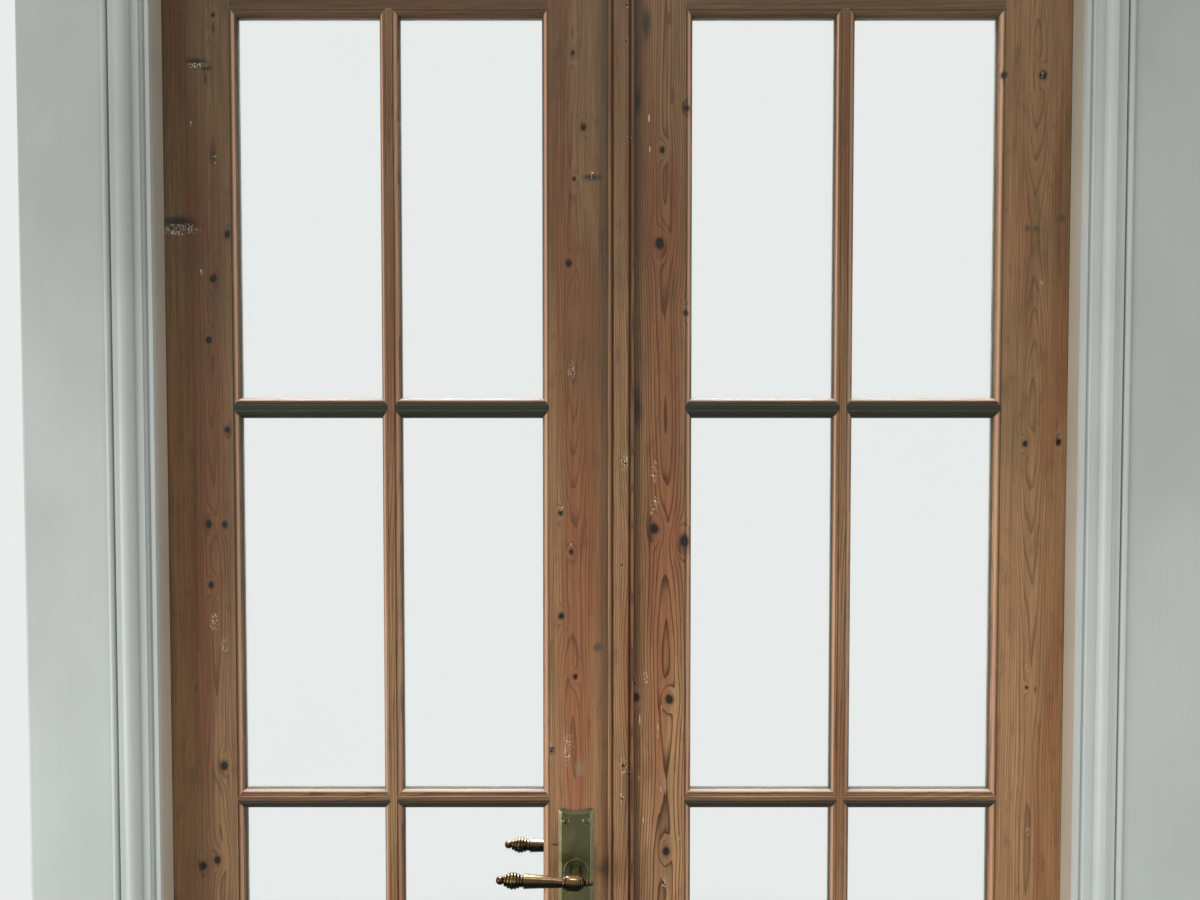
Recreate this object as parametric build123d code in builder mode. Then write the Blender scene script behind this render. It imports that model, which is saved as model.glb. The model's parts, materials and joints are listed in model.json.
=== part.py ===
from build123d import *
import os
from math import atan, degrees, radians, cos, sin, sqrt

os.makedirs("parts", exist_ok=True)

# A pair of glazed french doors in their rebated frame. All sizes are millimetres.
# X runs to the right as seen from the room, Y runs outdoors and Z runs up.
# The origin is the middle of the threshold's underside.

# Leaves
leaf_width = 594.0
leaf_height = 2300.0
leaf_thickness = 42.0
hinge_stile_width = 105.0
meeting_stile_width = 95.0
top_rail_height = 105.0
bottom_rail_height = 157.0
tenon_length = 60.0
tenon_thickness = 14.0
tenon_haunch = 25.0

# Gaps round the leaves
meeting_gap = 5.0
jamb_gap = 3.0
sill_gap = 5.0
stop_gap = 2.0

# Glazing
rows = 4
bar_nosing = 8.0
ovolo = 9.0
quirk = 1.5
nib_land = 3.5
glass_thickness = 4.0
glass_bed = 1.0
glass_play = 1.5
putty_depth = 14.0
putty_rim = 0.5

# Frame
stop_depth = 36.0
stop_cover = 10.5
frame_back = 30.0
threshold_height = 30.0
sill_cover = 12.0
nose_reach = 28.0
nose_drop = 6.0
nose_thickness = 16.0
nose_setback = 14.0
fixing_radius = 4.0
fixing_spacing = 400.0
lower_fixings = 650.0
upper_fixings = 1700.0

# Casing: a moulding beside the opening and a flat board outside it
lip_width = 5.0
lip_height = 10.0
hollow_width = 6.5
hollow_depth = 2.5
flat_width = 10.5
flat_height = 14.0
swell_width = 12.0
swell_height = 24.0
fall_width = 10.0
step_width = 4.0
step_height = 17.0
groove_width = 3.0
groove_height = 12.0
bead_width = 8.0
board_width = 106.0
board_thickness = 14.0
board_round = 3.0

# Butt hinges
hinge_length = 100.0
hinge_from_top = 175.0
hinge_from_bottom = 225.0
flap_thickness = 2.5
flap_width = 28.0
knuckle_radius = 6.0
knuckle_standoff = 1.0
knuckle_gap = 0.4
pin_radius = 3.0
pin_play = 0.05
pin_cap_radius = 4.5
pin_cap_height = 2.0
knuckles = 5

# Lock, with heights from the leaf's underside
backset = 51.5
spindle_height = 1083.0
spindle_side = 8.0
spindle_bore = 8.0
key_drop = 72.0
key_radius = 4.0
key_slot_width = 5.0
key_slot_drop = 12.0
key_bore = 9.0
case_depth = 72.0
case_thickness = 16.0
case_wall = 1.5
case_margin = 34.0
face_width = 22.0
face_thickness = 3.0
face_overlap = 18.0
bolt_play = 0.3

latch_height = 20.0
latch_thickness = 12.0
latch_throw = 11.0
latch_clear = 1.0
latch_nose = 3.0
tail_thickness = 3.0
tail_height = 7.0
follower_radius = 9.5
follower_thickness = 10.0
arm_reach = 17.0
arm_width = 5.0
arm_thickness = 4.0
arm_play = 0.5
hook_thickness = 3.5

dead_drop = 46.0
dead_height = 24.0
dead_thickness = 12.0
dead_length = 40.0
dead_throw = 14.0
strike_thickness = 2.0
strike_margin = 28.0
pocket_play = 1.0

# Backplates
plate_width = 46.0
plate_top = 82.0
plate_bottom = 158.0
plate_base = 1.2
plate_bevel_rise = 2.3
plate_bevel_width = 3.8
plate_lobe = 6.0
plate_dip = 3.5
ring_radius = 14.5
ring_section = 1.7
screw_offset = 13.3
screw_inset = 17.0
screw_radius = 4.0
screw_shank = 1.8
screw_length = 14.0
screw_play = 0.1
pilot_play = 0.5

# Turned levers: distances along the lever from the spindle, and radii
lever_stand = 52.0
lever_lift = 2.0
shank_radius = 8.5
shank_play = 0.1
shank_waist = 7.0
socket_depth = 12.0
barrel_start = -6.0
barrel_end = 12.0
barrel_radius = 10.0
barrel_swell = 0.6
hub_bead_width = 4.0
hub_bead_radius = 8.4
grip_end = 66.0
grip_small = 6.6
grip_large = 9.7
collar_width = 5.0
collar_radius = 7.9
bead_radii = (9.3, 10.7, 11.0, 9.8, 7.6)
bead_pitch = 4.1
bead_valley = 1.1
tip_neck = 3.2
tip_ball = 5.6
back_ring_width = 3.0
back_ring_radius = 8.2
back_neck = 3.0
back_taper = 4.0
back_bead_radius = 4.8
back_bead_width = 3.6
back_ball = 3.4

# Right leaf: astragal and flush bolts
astragal_offset = 5.0
astragal_width = 34.0
astragal_thickness = 12.0
astragal_middle = 19.0
astragal_bead = 5.5
astragal_shoulder = 6.0
astragal_quirk = 4.5
astragal_round = 1.5
astragal_play = 0.6
astragal_end_gap = 2.0
flush_radius = 4.5
flush_depth = 12.0
flush_travel = 18.0
flush_length = 125.0
flush_thumb = 12.0
flush_thumb_width = 6.0
flush_plate_width = 20.0
flush_plate_height = 160.0
flush_plate_inset = 30.0
flush_plate_thickness = 2.5
flush_play = 0.3
flush_setback = 0.5
keep_thickness = 1.5
keep_length = 44.0
keep_width = 22.0
keep_play = 1.0
keep_depth = 16.0

# Levels and lines that the sizes above settle
frame_depth = stop_depth + stop_gap + leaf_thickness
room_y = -frame_depth / 2
stop_y = room_y + stop_depth
leaf_in = stop_y + stop_gap
leaf_out = leaf_in + leaf_thickness
leaf_mid = leaf_in + leaf_thickness / 2
leaf_edge = meeting_gap / 2 + leaf_width
rebate_x = leaf_edge + jamb_gap
stop_x = leaf_edge - stop_cover
frame_x = rebate_x + frame_back

leaf_bottom = threshold_height + sill_gap
leaf_top = leaf_bottom + leaf_height
sill_stop = leaf_bottom + sill_cover
head_rebate = leaf_top + jamb_gap
head_stop = leaf_top - stop_cover
head_top = head_rebate + frame_back

bar_width = bar_nosing + 2 * ovolo
nib_y = leaf_in + quirk + ovolo + nib_land
glass_y = nib_y + glass_bed
pane_width = (leaf_width - hinge_stile_width - meeting_stile_width - bar_width) / 2
pane_height = (leaf_height - top_rail_height - bottom_rail_height - (rows - 1) * bar_width) / rows
glazed_bottom = leaf_bottom + bottom_rail_height
row_pitch = pane_height + bar_width

hinge_axis_x = (leaf_edge + rebate_x) / 2
hinge_axis_y = leaf_out + knuckle_standoff + knuckle_radius
hinge_levels = (
    leaf_bottom + hinge_from_bottom,
    (leaf_bottom + hinge_from_bottom + leaf_top - hinge_from_top) / 2,
    leaf_top - hinge_from_top,
)

spindle_x = -(meeting_gap / 2 + backset)
spindle_z = leaf_bottom + spindle_height
key_z = spindle_z - key_drop
key_middle = key_z - (key_slot_drop - key_radius) / 2
dead_z = spindle_z - dead_drop
edge_x = meeting_gap / 2
plate_thickness = plate_base + plate_bevel_rise
pilot_depth = screw_length - plate_thickness + pilot_play

sides = {"left": -1, "right": 1}


def save(piece, name):
    """Label a finished piece and write its file."""
    piece.part.label = name
    export_step(piece.part, f"parts/{name}.step")


def leaf_x(side, distance):
    """X of a line that lies a given distance from a leaf's meeting edge."""
    return side * (meeting_gap / 2 + distance)


def crosswise(x):
    """Plane across the rails: sketch x is height, sketch y is depth, extruded towards -X."""
    return Plane(origin=(x, 0, 0), x_dir=(0, 0, 1), z_dir=(-1, 0, 0))


def outwards(y):
    """Plane across the leaf's thickness: sketch x is -X, sketch y is height, extruded outdoors."""
    return Plane(origin=(0, y, 0), x_dir=(-1, 0, 0), z_dir=(0, 1, 0))


def block(low, high, mode=Mode.ADD):
    """Box between two opposite corners."""
    size = [abs(b - a) for a, b in zip(low, high)]
    middle = [(a + b) / 2 for a, b in zip(low, high)]
    with Locations(tuple(middle)):
        Box(*size, mode=mode)


# Wood sections

def moulded_edge(root, toward):
    """Glass edge of a stile, rail or bar: quirk, ovolo and nib in front, glazing rebate behind."""
    sight = root + toward * ovolo
    start = leaf_in + quirk
    turn = ovolo * sin(radians(45))
    Line((root, leaf_in), (root, start))
    ThreePointArc((root, start), (root + toward * turn, start + ovolo - turn), (sight, start + ovolo))
    Polyline((sight, start + ovolo), (sight, nib_y), (root, nib_y), (root, leaf_out))


def sash_outline(back, width, toward):
    """Section of a stile or rail from its plain back edge to its moulded glass edge."""
    root = back + toward * (width - ovolo)
    with BuildLine() as section:
        moulded_edge(root, toward)
        Polyline((root, leaf_out), (back, leaf_out), (back, leaf_in), (root, leaf_in))
    make_face(section.line)


def bar_outline(centre):
    """Section of a glazing bar: flat nosing, an ovolo on each side and a web between the panes."""
    left = centre - bar_nosing / 2
    right = centre + bar_nosing / 2
    with BuildLine() as section:
        moulded_edge(left, -1)
        moulded_edge(right, 1)
        Line((left, leaf_in), (right, leaf_in))
        Line((left, leaf_out), (right, leaf_out))
    make_face(section.line)


def frame_outline(outer, rebate, stop):
    """Section of a jamb or head: back, rebate for the leaf and stop on the room side."""
    with BuildLine() as section:
        Polyline(
            (outer, room_y), (stop, room_y), (stop, stop_y),
            (rebate, stop_y), (rebate, leaf_out), (outer, leaf_out), close=True,
        )
    make_face(section.line)


# Frame

def flap_recess(side, face, into, mode):
    """Shallow recesses for one side's hinge flaps, open at the outer face."""
    for level in hinge_levels:
        block(
            (side * face, leaf_out - flap_width, level - hinge_length / 2),
            (side * (face + into * flap_thickness), leaf_out, level + hinge_length / 2),
            mode,
        )


def bolt_hole(level, depth, radius, mode):
    """Upright hole on the line of the flush bolts, from a level upwards or downwards."""
    with Locations((edge_x + flush_depth, leaf_mid, level + depth / 2)):
        Cylinder(radius, abs(depth), mode=mode)


def keep_plate(level, into, mode):
    """Keep of a flush bolt, let in flush with the wood."""
    x = edge_x + flush_depth
    block(
        (x - keep_length / 2, leaf_mid - keep_width / 2, level),
        (x + keep_length / 2, leaf_mid + keep_width / 2, level + into * keep_thickness),
        mode,
    )


keep_radius = flush_radius + keep_play

with BuildPart() as threshold:
    with BuildSketch(crosswise(frame_x)):
        with BuildLine():
            Polyline(
                (0, room_y), (sill_stop, room_y), (sill_stop, stop_y), (threshold_height, stop_y),
                (threshold_height, leaf_out), (threshold_height - nose_drop, leaf_out + nose_reach),
                (threshold_height - nose_drop - nose_thickness, leaf_out + nose_reach),
                (threshold_height - nose_drop - nose_thickness, leaf_out + nose_setback),
                (0, leaf_out + nose_setback), close=True,
            )
        make_face()
    extrude(amount=2 * frame_x)
    keep_plate(threshold_height, -1, Mode.SUBTRACT)
    bolt_hole(threshold_height, -keep_depth, keep_radius, Mode.SUBTRACT)
save(threshold, "threshold")

with BuildPart() as head_jamb:
    with BuildSketch(crosswise(frame_x)):
        frame_outline(head_top, head_rebate, head_stop)
    extrude(amount=2 * frame_x)
    keep_plate(head_rebate, 1, Mode.SUBTRACT)
    bolt_hole(head_rebate, keep_depth, keep_radius, Mode.SUBTRACT)
save(head_jamb, "head_jamb")

for name, side in sides.items():
    with BuildPart() as jamb:
        with BuildSketch():
            frame_outline(side * frame_x, side * rebate_x, side * stop_x)
        extrude(amount=head_top)
        add(threshold.part, mode=Mode.SUBTRACT)
        add(head_jamb.part, mode=Mode.SUBTRACT)
        bolt_line = [middle + end * fixing_spacing / 2
                     for middle in (lower_fixings, upper_fixings) for end in (-1, 1)]
        with Locations(*[(side * (rebate_x + frame_back / 2), leaf_mid, z) for z in bolt_line]):
            Cylinder(fixing_radius, frame_back, rotation=(0, 90, 0), mode=Mode.SUBTRACT)
        flap_recess(side, rebate_x, 1, Mode.SUBTRACT)
    save(jamb, f"{name}_jamb")

with BuildPart() as bolt_keeps:
    keep_plate(threshold_height, -1, Mode.ADD)
    keep_plate(head_rebate, 1, Mode.ADD)
    bolt_hole(threshold_height, -keep_thickness, keep_radius, Mode.SUBTRACT)
    bolt_hole(head_rebate, keep_thickness, keep_radius, Mode.SUBTRACT)
save(bolt_keeps, "bolt_keeps")


# Casing

moulding_width = (lip_width + hollow_width + flat_width + swell_width + fall_width
                  + step_width + groove_width + bead_width)


def moulding_outline(edge, outward):
    """Section of the casing moulding, from the opening's edge outwards."""
    def at(u, v):
        return (edge + outward * u, room_y - v)

    hollow = lip_width + hollow_width
    flat = hollow + flat_width
    peak = flat + swell_width
    step = peak + fall_width
    groove = step + step_width
    bead = groove + groove_width
    with BuildLine() as section:
        Polyline(at(0, 0), at(0, lip_height), at(lip_width, lip_height))
        ThreePointArc(
            at(lip_width, lip_height),
            at(lip_width + hollow_width / 2, lip_height - hollow_depth),
            at(hollow, lip_height),
        )
        Polyline(at(hollow, lip_height), at(hollow, flat_height), at(flat, flat_height))
        swell = swell_height - flat_height
        ThreePointArc(
            at(flat, flat_height),
            at(flat + swell_width * (1 - cos(radians(45))), flat_height + swell * sin(radians(45))),
            at(peak, swell_height),
        )
        fall = swell_height - step_height
        ThreePointArc(
            at(peak, swell_height),
            at(peak + fall_width * (1 - cos(radians(45))), swell_height - fall * sin(radians(45))),
            at(step, step_height),
        )
        Polyline(
            at(step, step_height), at(groove, step_height),
            at(groove, groove_height), at(bead, groove_height), at(bead, board_thickness),
        )
        ThreePointArc(
            at(bead, board_thickness),
            at(bead + bead_width / 2, board_thickness + bead_width / 2),
            at(moulding_width, board_thickness),
        )
        Polyline(at(moulding_width, board_thickness), at(moulding_width, 0), at(0, 0))
    make_face(section.line)


def board_outline(edge, outward):
    """Section of the flat casing board, with its outer corner eased."""
    inner = edge + outward * moulding_width
    outer = inner + outward * board_width
    with BuildLine() as section:
        Polyline((inner, room_y), (inner, room_y - board_thickness),
                 (outer - outward * board_round, room_y - board_thickness))
        ThreePointArc(
            (outer - outward * board_round, room_y - board_thickness),
            (outer - outward * board_round * (1 - sin(radians(45))),
             room_y - board_thickness + board_round * (1 - cos(radians(45)))),
            (outer, room_y - board_thickness + board_round),
        )
        Polyline((outer, room_y - board_thickness + board_round), (outer, room_y), (inner, room_y))
    make_face(section.line)


def mitre(side):
    """Plane of a top corner's mitre, with its normal on the head's side."""
    return Plane(origin=(side * stop_x, 0, head_stop), x_dir=(0, 1, 0), z_dir=(-side, 0, 1))


casing_end = stop_x + moulding_width + board_width
casing_top = head_stop + moulding_width + board_width

for kind, outline in {"moulding": moulding_outline, "casing": board_outline}.items():
    for name, side in sides.items():
        with BuildPart() as leg:
            with BuildSketch():
                outline(side * stop_x, side)
            extrude(amount=casing_top)
            split(bisect_by=mitre(side), keep=Keep.BOTTOM)
        save(leg, f"{name}_{kind}")
    with BuildPart() as lintel:
        with BuildSketch(crosswise(casing_end)):
            outline(head_stop, 1)
        extrude(amount=2 * casing_end)
        for side in sides.values():
            split(bisect_by=mitre(side), keep=Keep.TOP)
    save(lintel, f"head_{kind}")


# Hinges: the frame half carries the pin

def knuckle_span(level, index):
    """Lower end and length of one knuckle."""
    length = (hinge_length - (knuckles - 1) * knuckle_gap) / knuckles
    return level - hinge_length / 2 + index * (length + knuckle_gap), length


def hinge_half(side, level, face, into, own):
    """Flap let into the wood and the knuckles with the given indices."""
    x = side * face
    deep = side * (face + into * flap_thickness)
    block(
        (x, leaf_out - flap_width, level - hinge_length / 2),
        (deep, leaf_out, level + hinge_length / 2),
    )
    for index in own:
        low, length = knuckle_span(level, index)
        block((x, leaf_out, low), (deep, hinge_axis_y, low + length))
        with Locations((side * hinge_axis_x, hinge_axis_y, low + length / 2)):
            Cylinder(knuckle_radius, length)


for name, side in sides.items():
    for number, level in enumerate(hinge_levels, 1):
        axis_at = (side * hinge_axis_x, hinge_axis_y, level)
        with BuildPart() as frame_half:
            hinge_half(side, level, rebate_x, 1, range(0, knuckles, 2))
            with Locations(axis_at):
                Cylinder(pin_radius, hinge_length)
                Cylinder(pin_cap_radius, hinge_length + 2 * pin_cap_height)
            for index in range(1, knuckles, 2):
                low, length = knuckle_span(level, index)
                with Locations((axis_at[0], axis_at[1], low + length / 2)):
                    Cylinder(pin_cap_radius, length + 2 * knuckle_gap, mode=Mode.SUBTRACT)
            with Locations(axis_at):
                Cylinder(pin_radius, hinge_length)
        save(frame_half, f"{name}_hinge_{number}_frame_half")
        with BuildPart() as leaf_half:
            hinge_half(side, level, leaf_edge, -1, range(1, knuckles, 2))
            with Locations(axis_at):
                Cylinder(pin_radius + pin_play, hinge_length, mode=Mode.SUBTRACT)
        save(leaf_half, f"{name}_hinge_{number}_leaf_half")


# Left leaf's lock: what is cut out of the stile follows the lock's own sizes

case_front = -edge_x - face_thickness
case_back = case_front - case_depth
case_top = spindle_z + case_margin
case_low = key_z - case_margin


def through_bore(x, z, radius, mode):
    """Round hole through the leaf's thickness."""
    with Locations((x, leaf_mid, z)):
        Cylinder(radius, leaf_thickness, rotation=(90, 0, 0), mode=mode)


def faceplate_body(mode):
    """Faceplate of the mortice lock, let into the leaf's edge."""
    block(
        (-edge_x, leaf_mid - face_width / 2, case_low - face_overlap),
        (case_front, leaf_mid + face_width / 2, case_top + face_overlap),
        mode,
    )


def case_body(mode):
    """Outside of the lock case."""
    block(
        (case_front, leaf_mid - case_thickness / 2, case_low),
        (case_back, leaf_mid + case_thickness / 2, case_top),
        mode,
    )


def plate_screw_points():
    """Places of the backplate screws across and up from the spindle."""
    heights = (plate_top - screw_inset, screw_inset - plate_bottom)
    return [(across * screw_offset, up) for across in (-1, 1) for up in heights]


def screw_pilots(mode):
    """Pilot holes of the backplate screws, from both faces of the leaf."""
    for across, up in plate_screw_points():
        for face, inward in ((leaf_in, 1), (leaf_out, -1)):
            with Locations((spindle_x + across, face + inward * pilot_depth / 2, spindle_z + up)):
                Cylinder(screw_shank + screw_play, pilot_depth, rotation=(90, 0, 0), mode=mode)


def lock_cuts():
    """Everything that the lock and its plates take out of the left meeting stile."""
    faceplate_body(Mode.SUBTRACT)
    case_body(Mode.SUBTRACT)
    through_bore(spindle_x, spindle_z, spindle_bore, Mode.SUBTRACT)
    through_bore(spindle_x, key_middle, key_bore, Mode.SUBTRACT)
    screw_pilots(Mode.SUBTRACT)


# Right leaf's strike and flush bolts

strike_top = spindle_z + latch_height / 2 + strike_margin
strike_low = dead_z - dead_height / 2 - strike_margin


def strike_body(mode):
    """Strike plate, let into the right leaf's meeting edge."""
    block(
        (edge_x, leaf_mid - face_width / 2, strike_low),
        (edge_x + strike_thickness, leaf_mid + face_width / 2, strike_top),
        mode,
    )


def strike_pockets(mode):
    """Pockets that receive the latch bolt and the dead bolt."""
    for level, height, thickness, throw in (
        (spindle_z, latch_height, latch_thickness, latch_throw),
        (dead_z, dead_height, dead_thickness, dead_throw),
    ):
        block(
            (edge_x, leaf_mid - thickness / 2 - pocket_play, level - height / 2 - pocket_play),
            (throw - edge_x + pocket_play, leaf_mid + thickness / 2 + pocket_play,
             level + height / 2 + pocket_play),
            mode,
        )


def flush_plate(end, toward, mode):
    """Plate of a flush bolt, let into the meeting edge near the leaf's top or bottom."""
    near = end + toward * flush_plate_inset
    block(
        (edge_x, leaf_mid - flush_plate_width / 2, near),
        (edge_x + flush_plate_thickness, leaf_mid + flush_plate_width / 2,
         near + toward * flush_plate_height),
        mode,
    )


def flush_slot(end, toward, depth, mode):
    """Slot in which the thumb piece slides, as deep as asked."""
    rest = end + toward * flush_length
    block(
        (edge_x, leaf_mid - flush_thumb_width / 2 - flush_play, rest + toward * flush_play),
        (edge_x + depth, leaf_mid + flush_thumb_width / 2 + flush_play,
         rest - toward * (flush_thumb + flush_travel + flush_play)),
        mode,
    )


leaf_ends = {"top": (leaf_top, -1), "bottom": (leaf_bottom, 1)}


def right_cuts():
    """Everything that the strike and the flush bolts take out of the right meeting stile."""
    strike_body(Mode.SUBTRACT)
    strike_pockets(Mode.SUBTRACT)
    for end, toward in leaf_ends.values():
        flush_plate(end, toward, Mode.SUBTRACT)
        flush_slot(end, toward, flush_depth, Mode.SUBTRACT)
        bolt_hole(end, toward * (flush_length + flush_play), flush_radius + flush_play, Mode.SUBTRACT)


# Leaves

def tenons(side, mode, ends):
    """Rail tenons that reach into the stiles, at the chosen leaf ends."""
    meeting_root = leaf_x(side, meeting_stile_width - ovolo)
    hinge_root = leaf_x(side, leaf_width - hinge_stile_width + ovolo)
    for edge, toward, height in ends:
        low = edge + toward * tenon_haunch
        high = edge + toward * (height - ovolo)
        for root, into in ((meeting_root, -side), (hinge_root, side)):
            block(
                (root, leaf_mid - tenon_thickness / 2, low),
                (root + into * tenon_length, leaf_mid + tenon_thickness / 2, high),
                mode,
            )


bottom_end = (leaf_bottom, 1, bottom_rail_height)
top_end = (leaf_top, -1, top_rail_height)


def build_stile(side, distance, width, toward):
    """Stile with its moulded edge and the mortices for the rails."""
    with BuildPart() as stile:
        with BuildSketch(Plane.XY.offset(leaf_bottom)):
            sash_outline(leaf_x(side, distance), width, toward)
        extrude(amount=leaf_height)
        tenons(side, Mode.SUBTRACT, (bottom_end, top_end))
    return stile


def build_rail(side, end, stiles):
    """Rail between the stiles' shoulders, scribed over their moulding and tenoned into them."""
    edge, toward, height = end
    roots = [leaf_x(side, meeting_stile_width - ovolo),
             leaf_x(side, leaf_width - hinge_stile_width + ovolo)]
    with BuildPart() as rail:
        with BuildSketch(crosswise(max(roots))):
            sash_outline(edge, height, toward)
        extrude(amount=max(roots) - min(roots))
        for stile in stiles:
            add(stile.part, mode=Mode.SUBTRACT)
        tenons(side, Mode.ADD, (end,))
    return rail


def pane_centres(side):
    """Middle of each pane as X and Z."""
    columns = [leaf_x(side, meeting_stile_width + pane_width / 2 + n * (pane_width + bar_width))
               for n in range(2)]
    return [(x, glazed_bottom + pane_height / 2 + row * row_pitch)
            for row in range(rows) for x in columns]


def build_putty(side):
    """Bedding and sloped fillet of putty round every pane, with the glass's own space left free."""
    spots = [(-x, z) for x, z in pane_centres(side)]
    spread = degrees(atan((ovolo - putty_rim) / putty_depth))
    glass_outer = glass_y + glass_thickness
    with BuildPart() as putty:
        with BuildSketch(outwards(nib_y)):
            with Locations(*spots):
                Rectangle(pane_width + 2 * ovolo, pane_height + 2 * ovolo)
                Rectangle(pane_width, pane_height, mode=Mode.SUBTRACT)
        extrude(amount=glass_bed + glass_thickness + putty_depth)
        add(build_panes(side).part, mode=Mode.SUBTRACT)
        with BuildSketch(outwards(glass_outer)):
            with Locations(*spots):
                Rectangle(pane_width, pane_height)
        extrude(amount=putty_depth, taper=-spread, mode=Mode.SUBTRACT)
    return putty


def build_panes(side):
    """Glass panes, with a little play in their rebates."""
    cover = ovolo - glass_play
    with BuildPart() as panes:
        with Locations(*[(x, glass_y + glass_thickness / 2, z) for x, z in pane_centres(side)]):
            Box(pane_width + 2 * cover, glass_thickness, pane_height + 2 * cover)
    return panes


def build_leaf(name, side):
    """One glazed leaf, without its hardware."""
    with BuildPart() as hinge_stile:
        add(build_stile(side, leaf_width, hinge_stile_width, -side).part)
        flap_recess(side, leaf_edge, -1, Mode.SUBTRACT)
    save(hinge_stile, f"{name}_hinge_stile")

    with BuildPart() as meeting_stile:
        add(build_stile(side, 0, meeting_stile_width, side).part)
        if side < 0:
            lock_cuts()
        else:
            right_cuts()
    save(meeting_stile, f"{name}_meeting_stile")

    stiles = (hinge_stile, meeting_stile)
    bottom_rail = build_rail(side, bottom_end, stiles)
    top_rail = build_rail(side, top_end, stiles)
    save(bottom_rail, f"{name}_bottom_rail")
    save(top_rail, f"{name}_top_rail")

    centre = leaf_x(side, meeting_stile_width + pane_width + bar_width / 2)
    low = glazed_bottom - ovolo
    with BuildPart() as upright_bar:
        with BuildSketch(Plane.XY.offset(low)):
            bar_outline(centre)
        extrude(amount=leaf_top - top_rail_height + ovolo - low)
        add(bottom_rail.part, mode=Mode.SUBTRACT)
        add(top_rail.part, mode=Mode.SUBTRACT)
    save(upright_bar, f"{name}_upright_bar")

    roots = [leaf_x(side, meeting_stile_width - ovolo),
             leaf_x(side, leaf_width - hinge_stile_width + ovolo)]
    for row in range(1, rows):
        with BuildPart() as cross_bar:
            with BuildSketch(crosswise(max(roots))):
                bar_outline(glazed_bottom + row * row_pitch - bar_width / 2)
            extrude(amount=max(roots) - min(roots))
            for piece in (*stiles, upright_bar):
                add(piece.part, mode=Mode.SUBTRACT)
        save(cross_bar, f"{name}_cross_bar_{row}")

    save(build_panes(side), f"{name}_panes")
    save(build_putty(side), f"{name}_putty")


for name, side in sides.items():
    build_leaf(name, side)


# Mortice lock

def bolt_slots(mode):
    """Slots for the latch bolt and the dead bolt in the faceplate and the case front."""
    for level, height, thickness in (
        (spindle_z, latch_height, latch_thickness),
        (dead_z, dead_height, dead_thickness),
    ):
        block(
            (-edge_x, leaf_mid - thickness / 2 - bolt_play, level - height / 2 - bolt_play),
            (case_front - case_wall, leaf_mid + thickness / 2 + bolt_play,
             level + height / 2 + bolt_play),
            mode,
        )


def keyhole(y, depth, mode):
    """Round and slotted keyhole cut outdoors from a level."""
    with BuildSketch(outwards(y)) as opening:
        with Locations((-spindle_x, key_z)):
            Circle(key_radius)
        with Locations((-spindle_x, key_z - key_slot_drop / 2)):
            Rectangle(key_slot_width, key_slot_drop)
    extrude(opening.sketch, amount=depth, mode=mode)


with BuildPart() as lock_case:
    case_body(Mode.ADD)
    block(
        (case_front - case_wall, leaf_mid - case_thickness / 2 + case_wall, case_low + case_wall),
        (case_back + case_wall, leaf_mid + case_thickness / 2 - case_wall, case_top - case_wall),
        Mode.SUBTRACT,
    )
    bolt_slots(Mode.SUBTRACT)
    through_bore(spindle_x, spindle_z, spindle_bore, Mode.SUBTRACT)
    keyhole(leaf_in, leaf_thickness, Mode.SUBTRACT)
save(lock_case, "lock_case")

with BuildPart() as lock_faceplate:
    faceplate_body(Mode.ADD)
    bolt_slots(Mode.SUBTRACT)
save(lock_faceplate, "lock_faceplate")

latch_back = spindle_x + follower_radius + latch_throw + latch_clear
hook_front = spindle_x - arm_width / 2 - arm_play
with BuildPart() as latch_bolt:
    near = leaf_mid - latch_thickness / 2
    far = leaf_mid + latch_thickness / 2
    tip = latch_throw - edge_x
    with BuildSketch(Plane.XY.offset(spindle_z - latch_height / 2)):
        with BuildLine():
            Polyline((latch_back, near), (-edge_x, near), (tip, far - latch_nose),
                     (tip, far), (latch_back, far), close=True)
        make_face()
    extrude(amount=latch_height)
    tail_low = spindle_z + arm_reach - tail_height
    tail_far = leaf_mid + case_thickness / 2 - case_wall - bolt_play
    tail_near = tail_far - tail_thickness
    block((latch_back, far - tail_thickness, spindle_z), (latch_back + tail_thickness, far,
                                                        tail_low + tail_height))
    block((latch_back + tail_thickness, tail_near, tail_low),
          (hook_front - hook_thickness, tail_far, tail_low + tail_height))
    block((hook_front, leaf_mid - arm_thickness / 2, tail_low),
          (hook_front - hook_thickness, tail_far, tail_low + tail_height))
save(latch_bolt, "latch_bolt")

with BuildPart() as dead_bolt:
    block(
        (-edge_x - bolt_play, leaf_mid - dead_thickness / 2, dead_z - dead_height / 2),
        (case_front - dead_length, leaf_mid + dead_thickness / 2, dead_z + dead_height / 2),
    )
save(dead_bolt, "dead_bolt")

with BuildPart() as follower:
    with BuildSketch(outwards(leaf_mid - follower_thickness / 2)):
        with Locations((-spindle_x, spindle_z)):
            Circle(follower_radius)
    extrude(amount=follower_thickness)
    block(
        (spindle_x - arm_width / 2, leaf_mid - arm_thickness / 2, spindle_z),
        (spindle_x + arm_width / 2, leaf_mid + arm_thickness / 2, spindle_z + arm_reach),
    )
    with Locations((spindle_x, leaf_mid, spindle_z)):
        Box(spindle_side, follower_thickness, spindle_side, mode=Mode.SUBTRACT)
save(follower, "follower")


# Backplates, screws and levers, made once for each face of the leaf

def handle_plane(face, outward):
    """Plane on a leaf face at the spindle: sketch y is up and the normal leaves the leaf."""
    return Plane(origin=(spindle_x, face, spindle_z), x_dir=(-outward, 0, 0), z_dir=(0, outward, 0))


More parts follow.
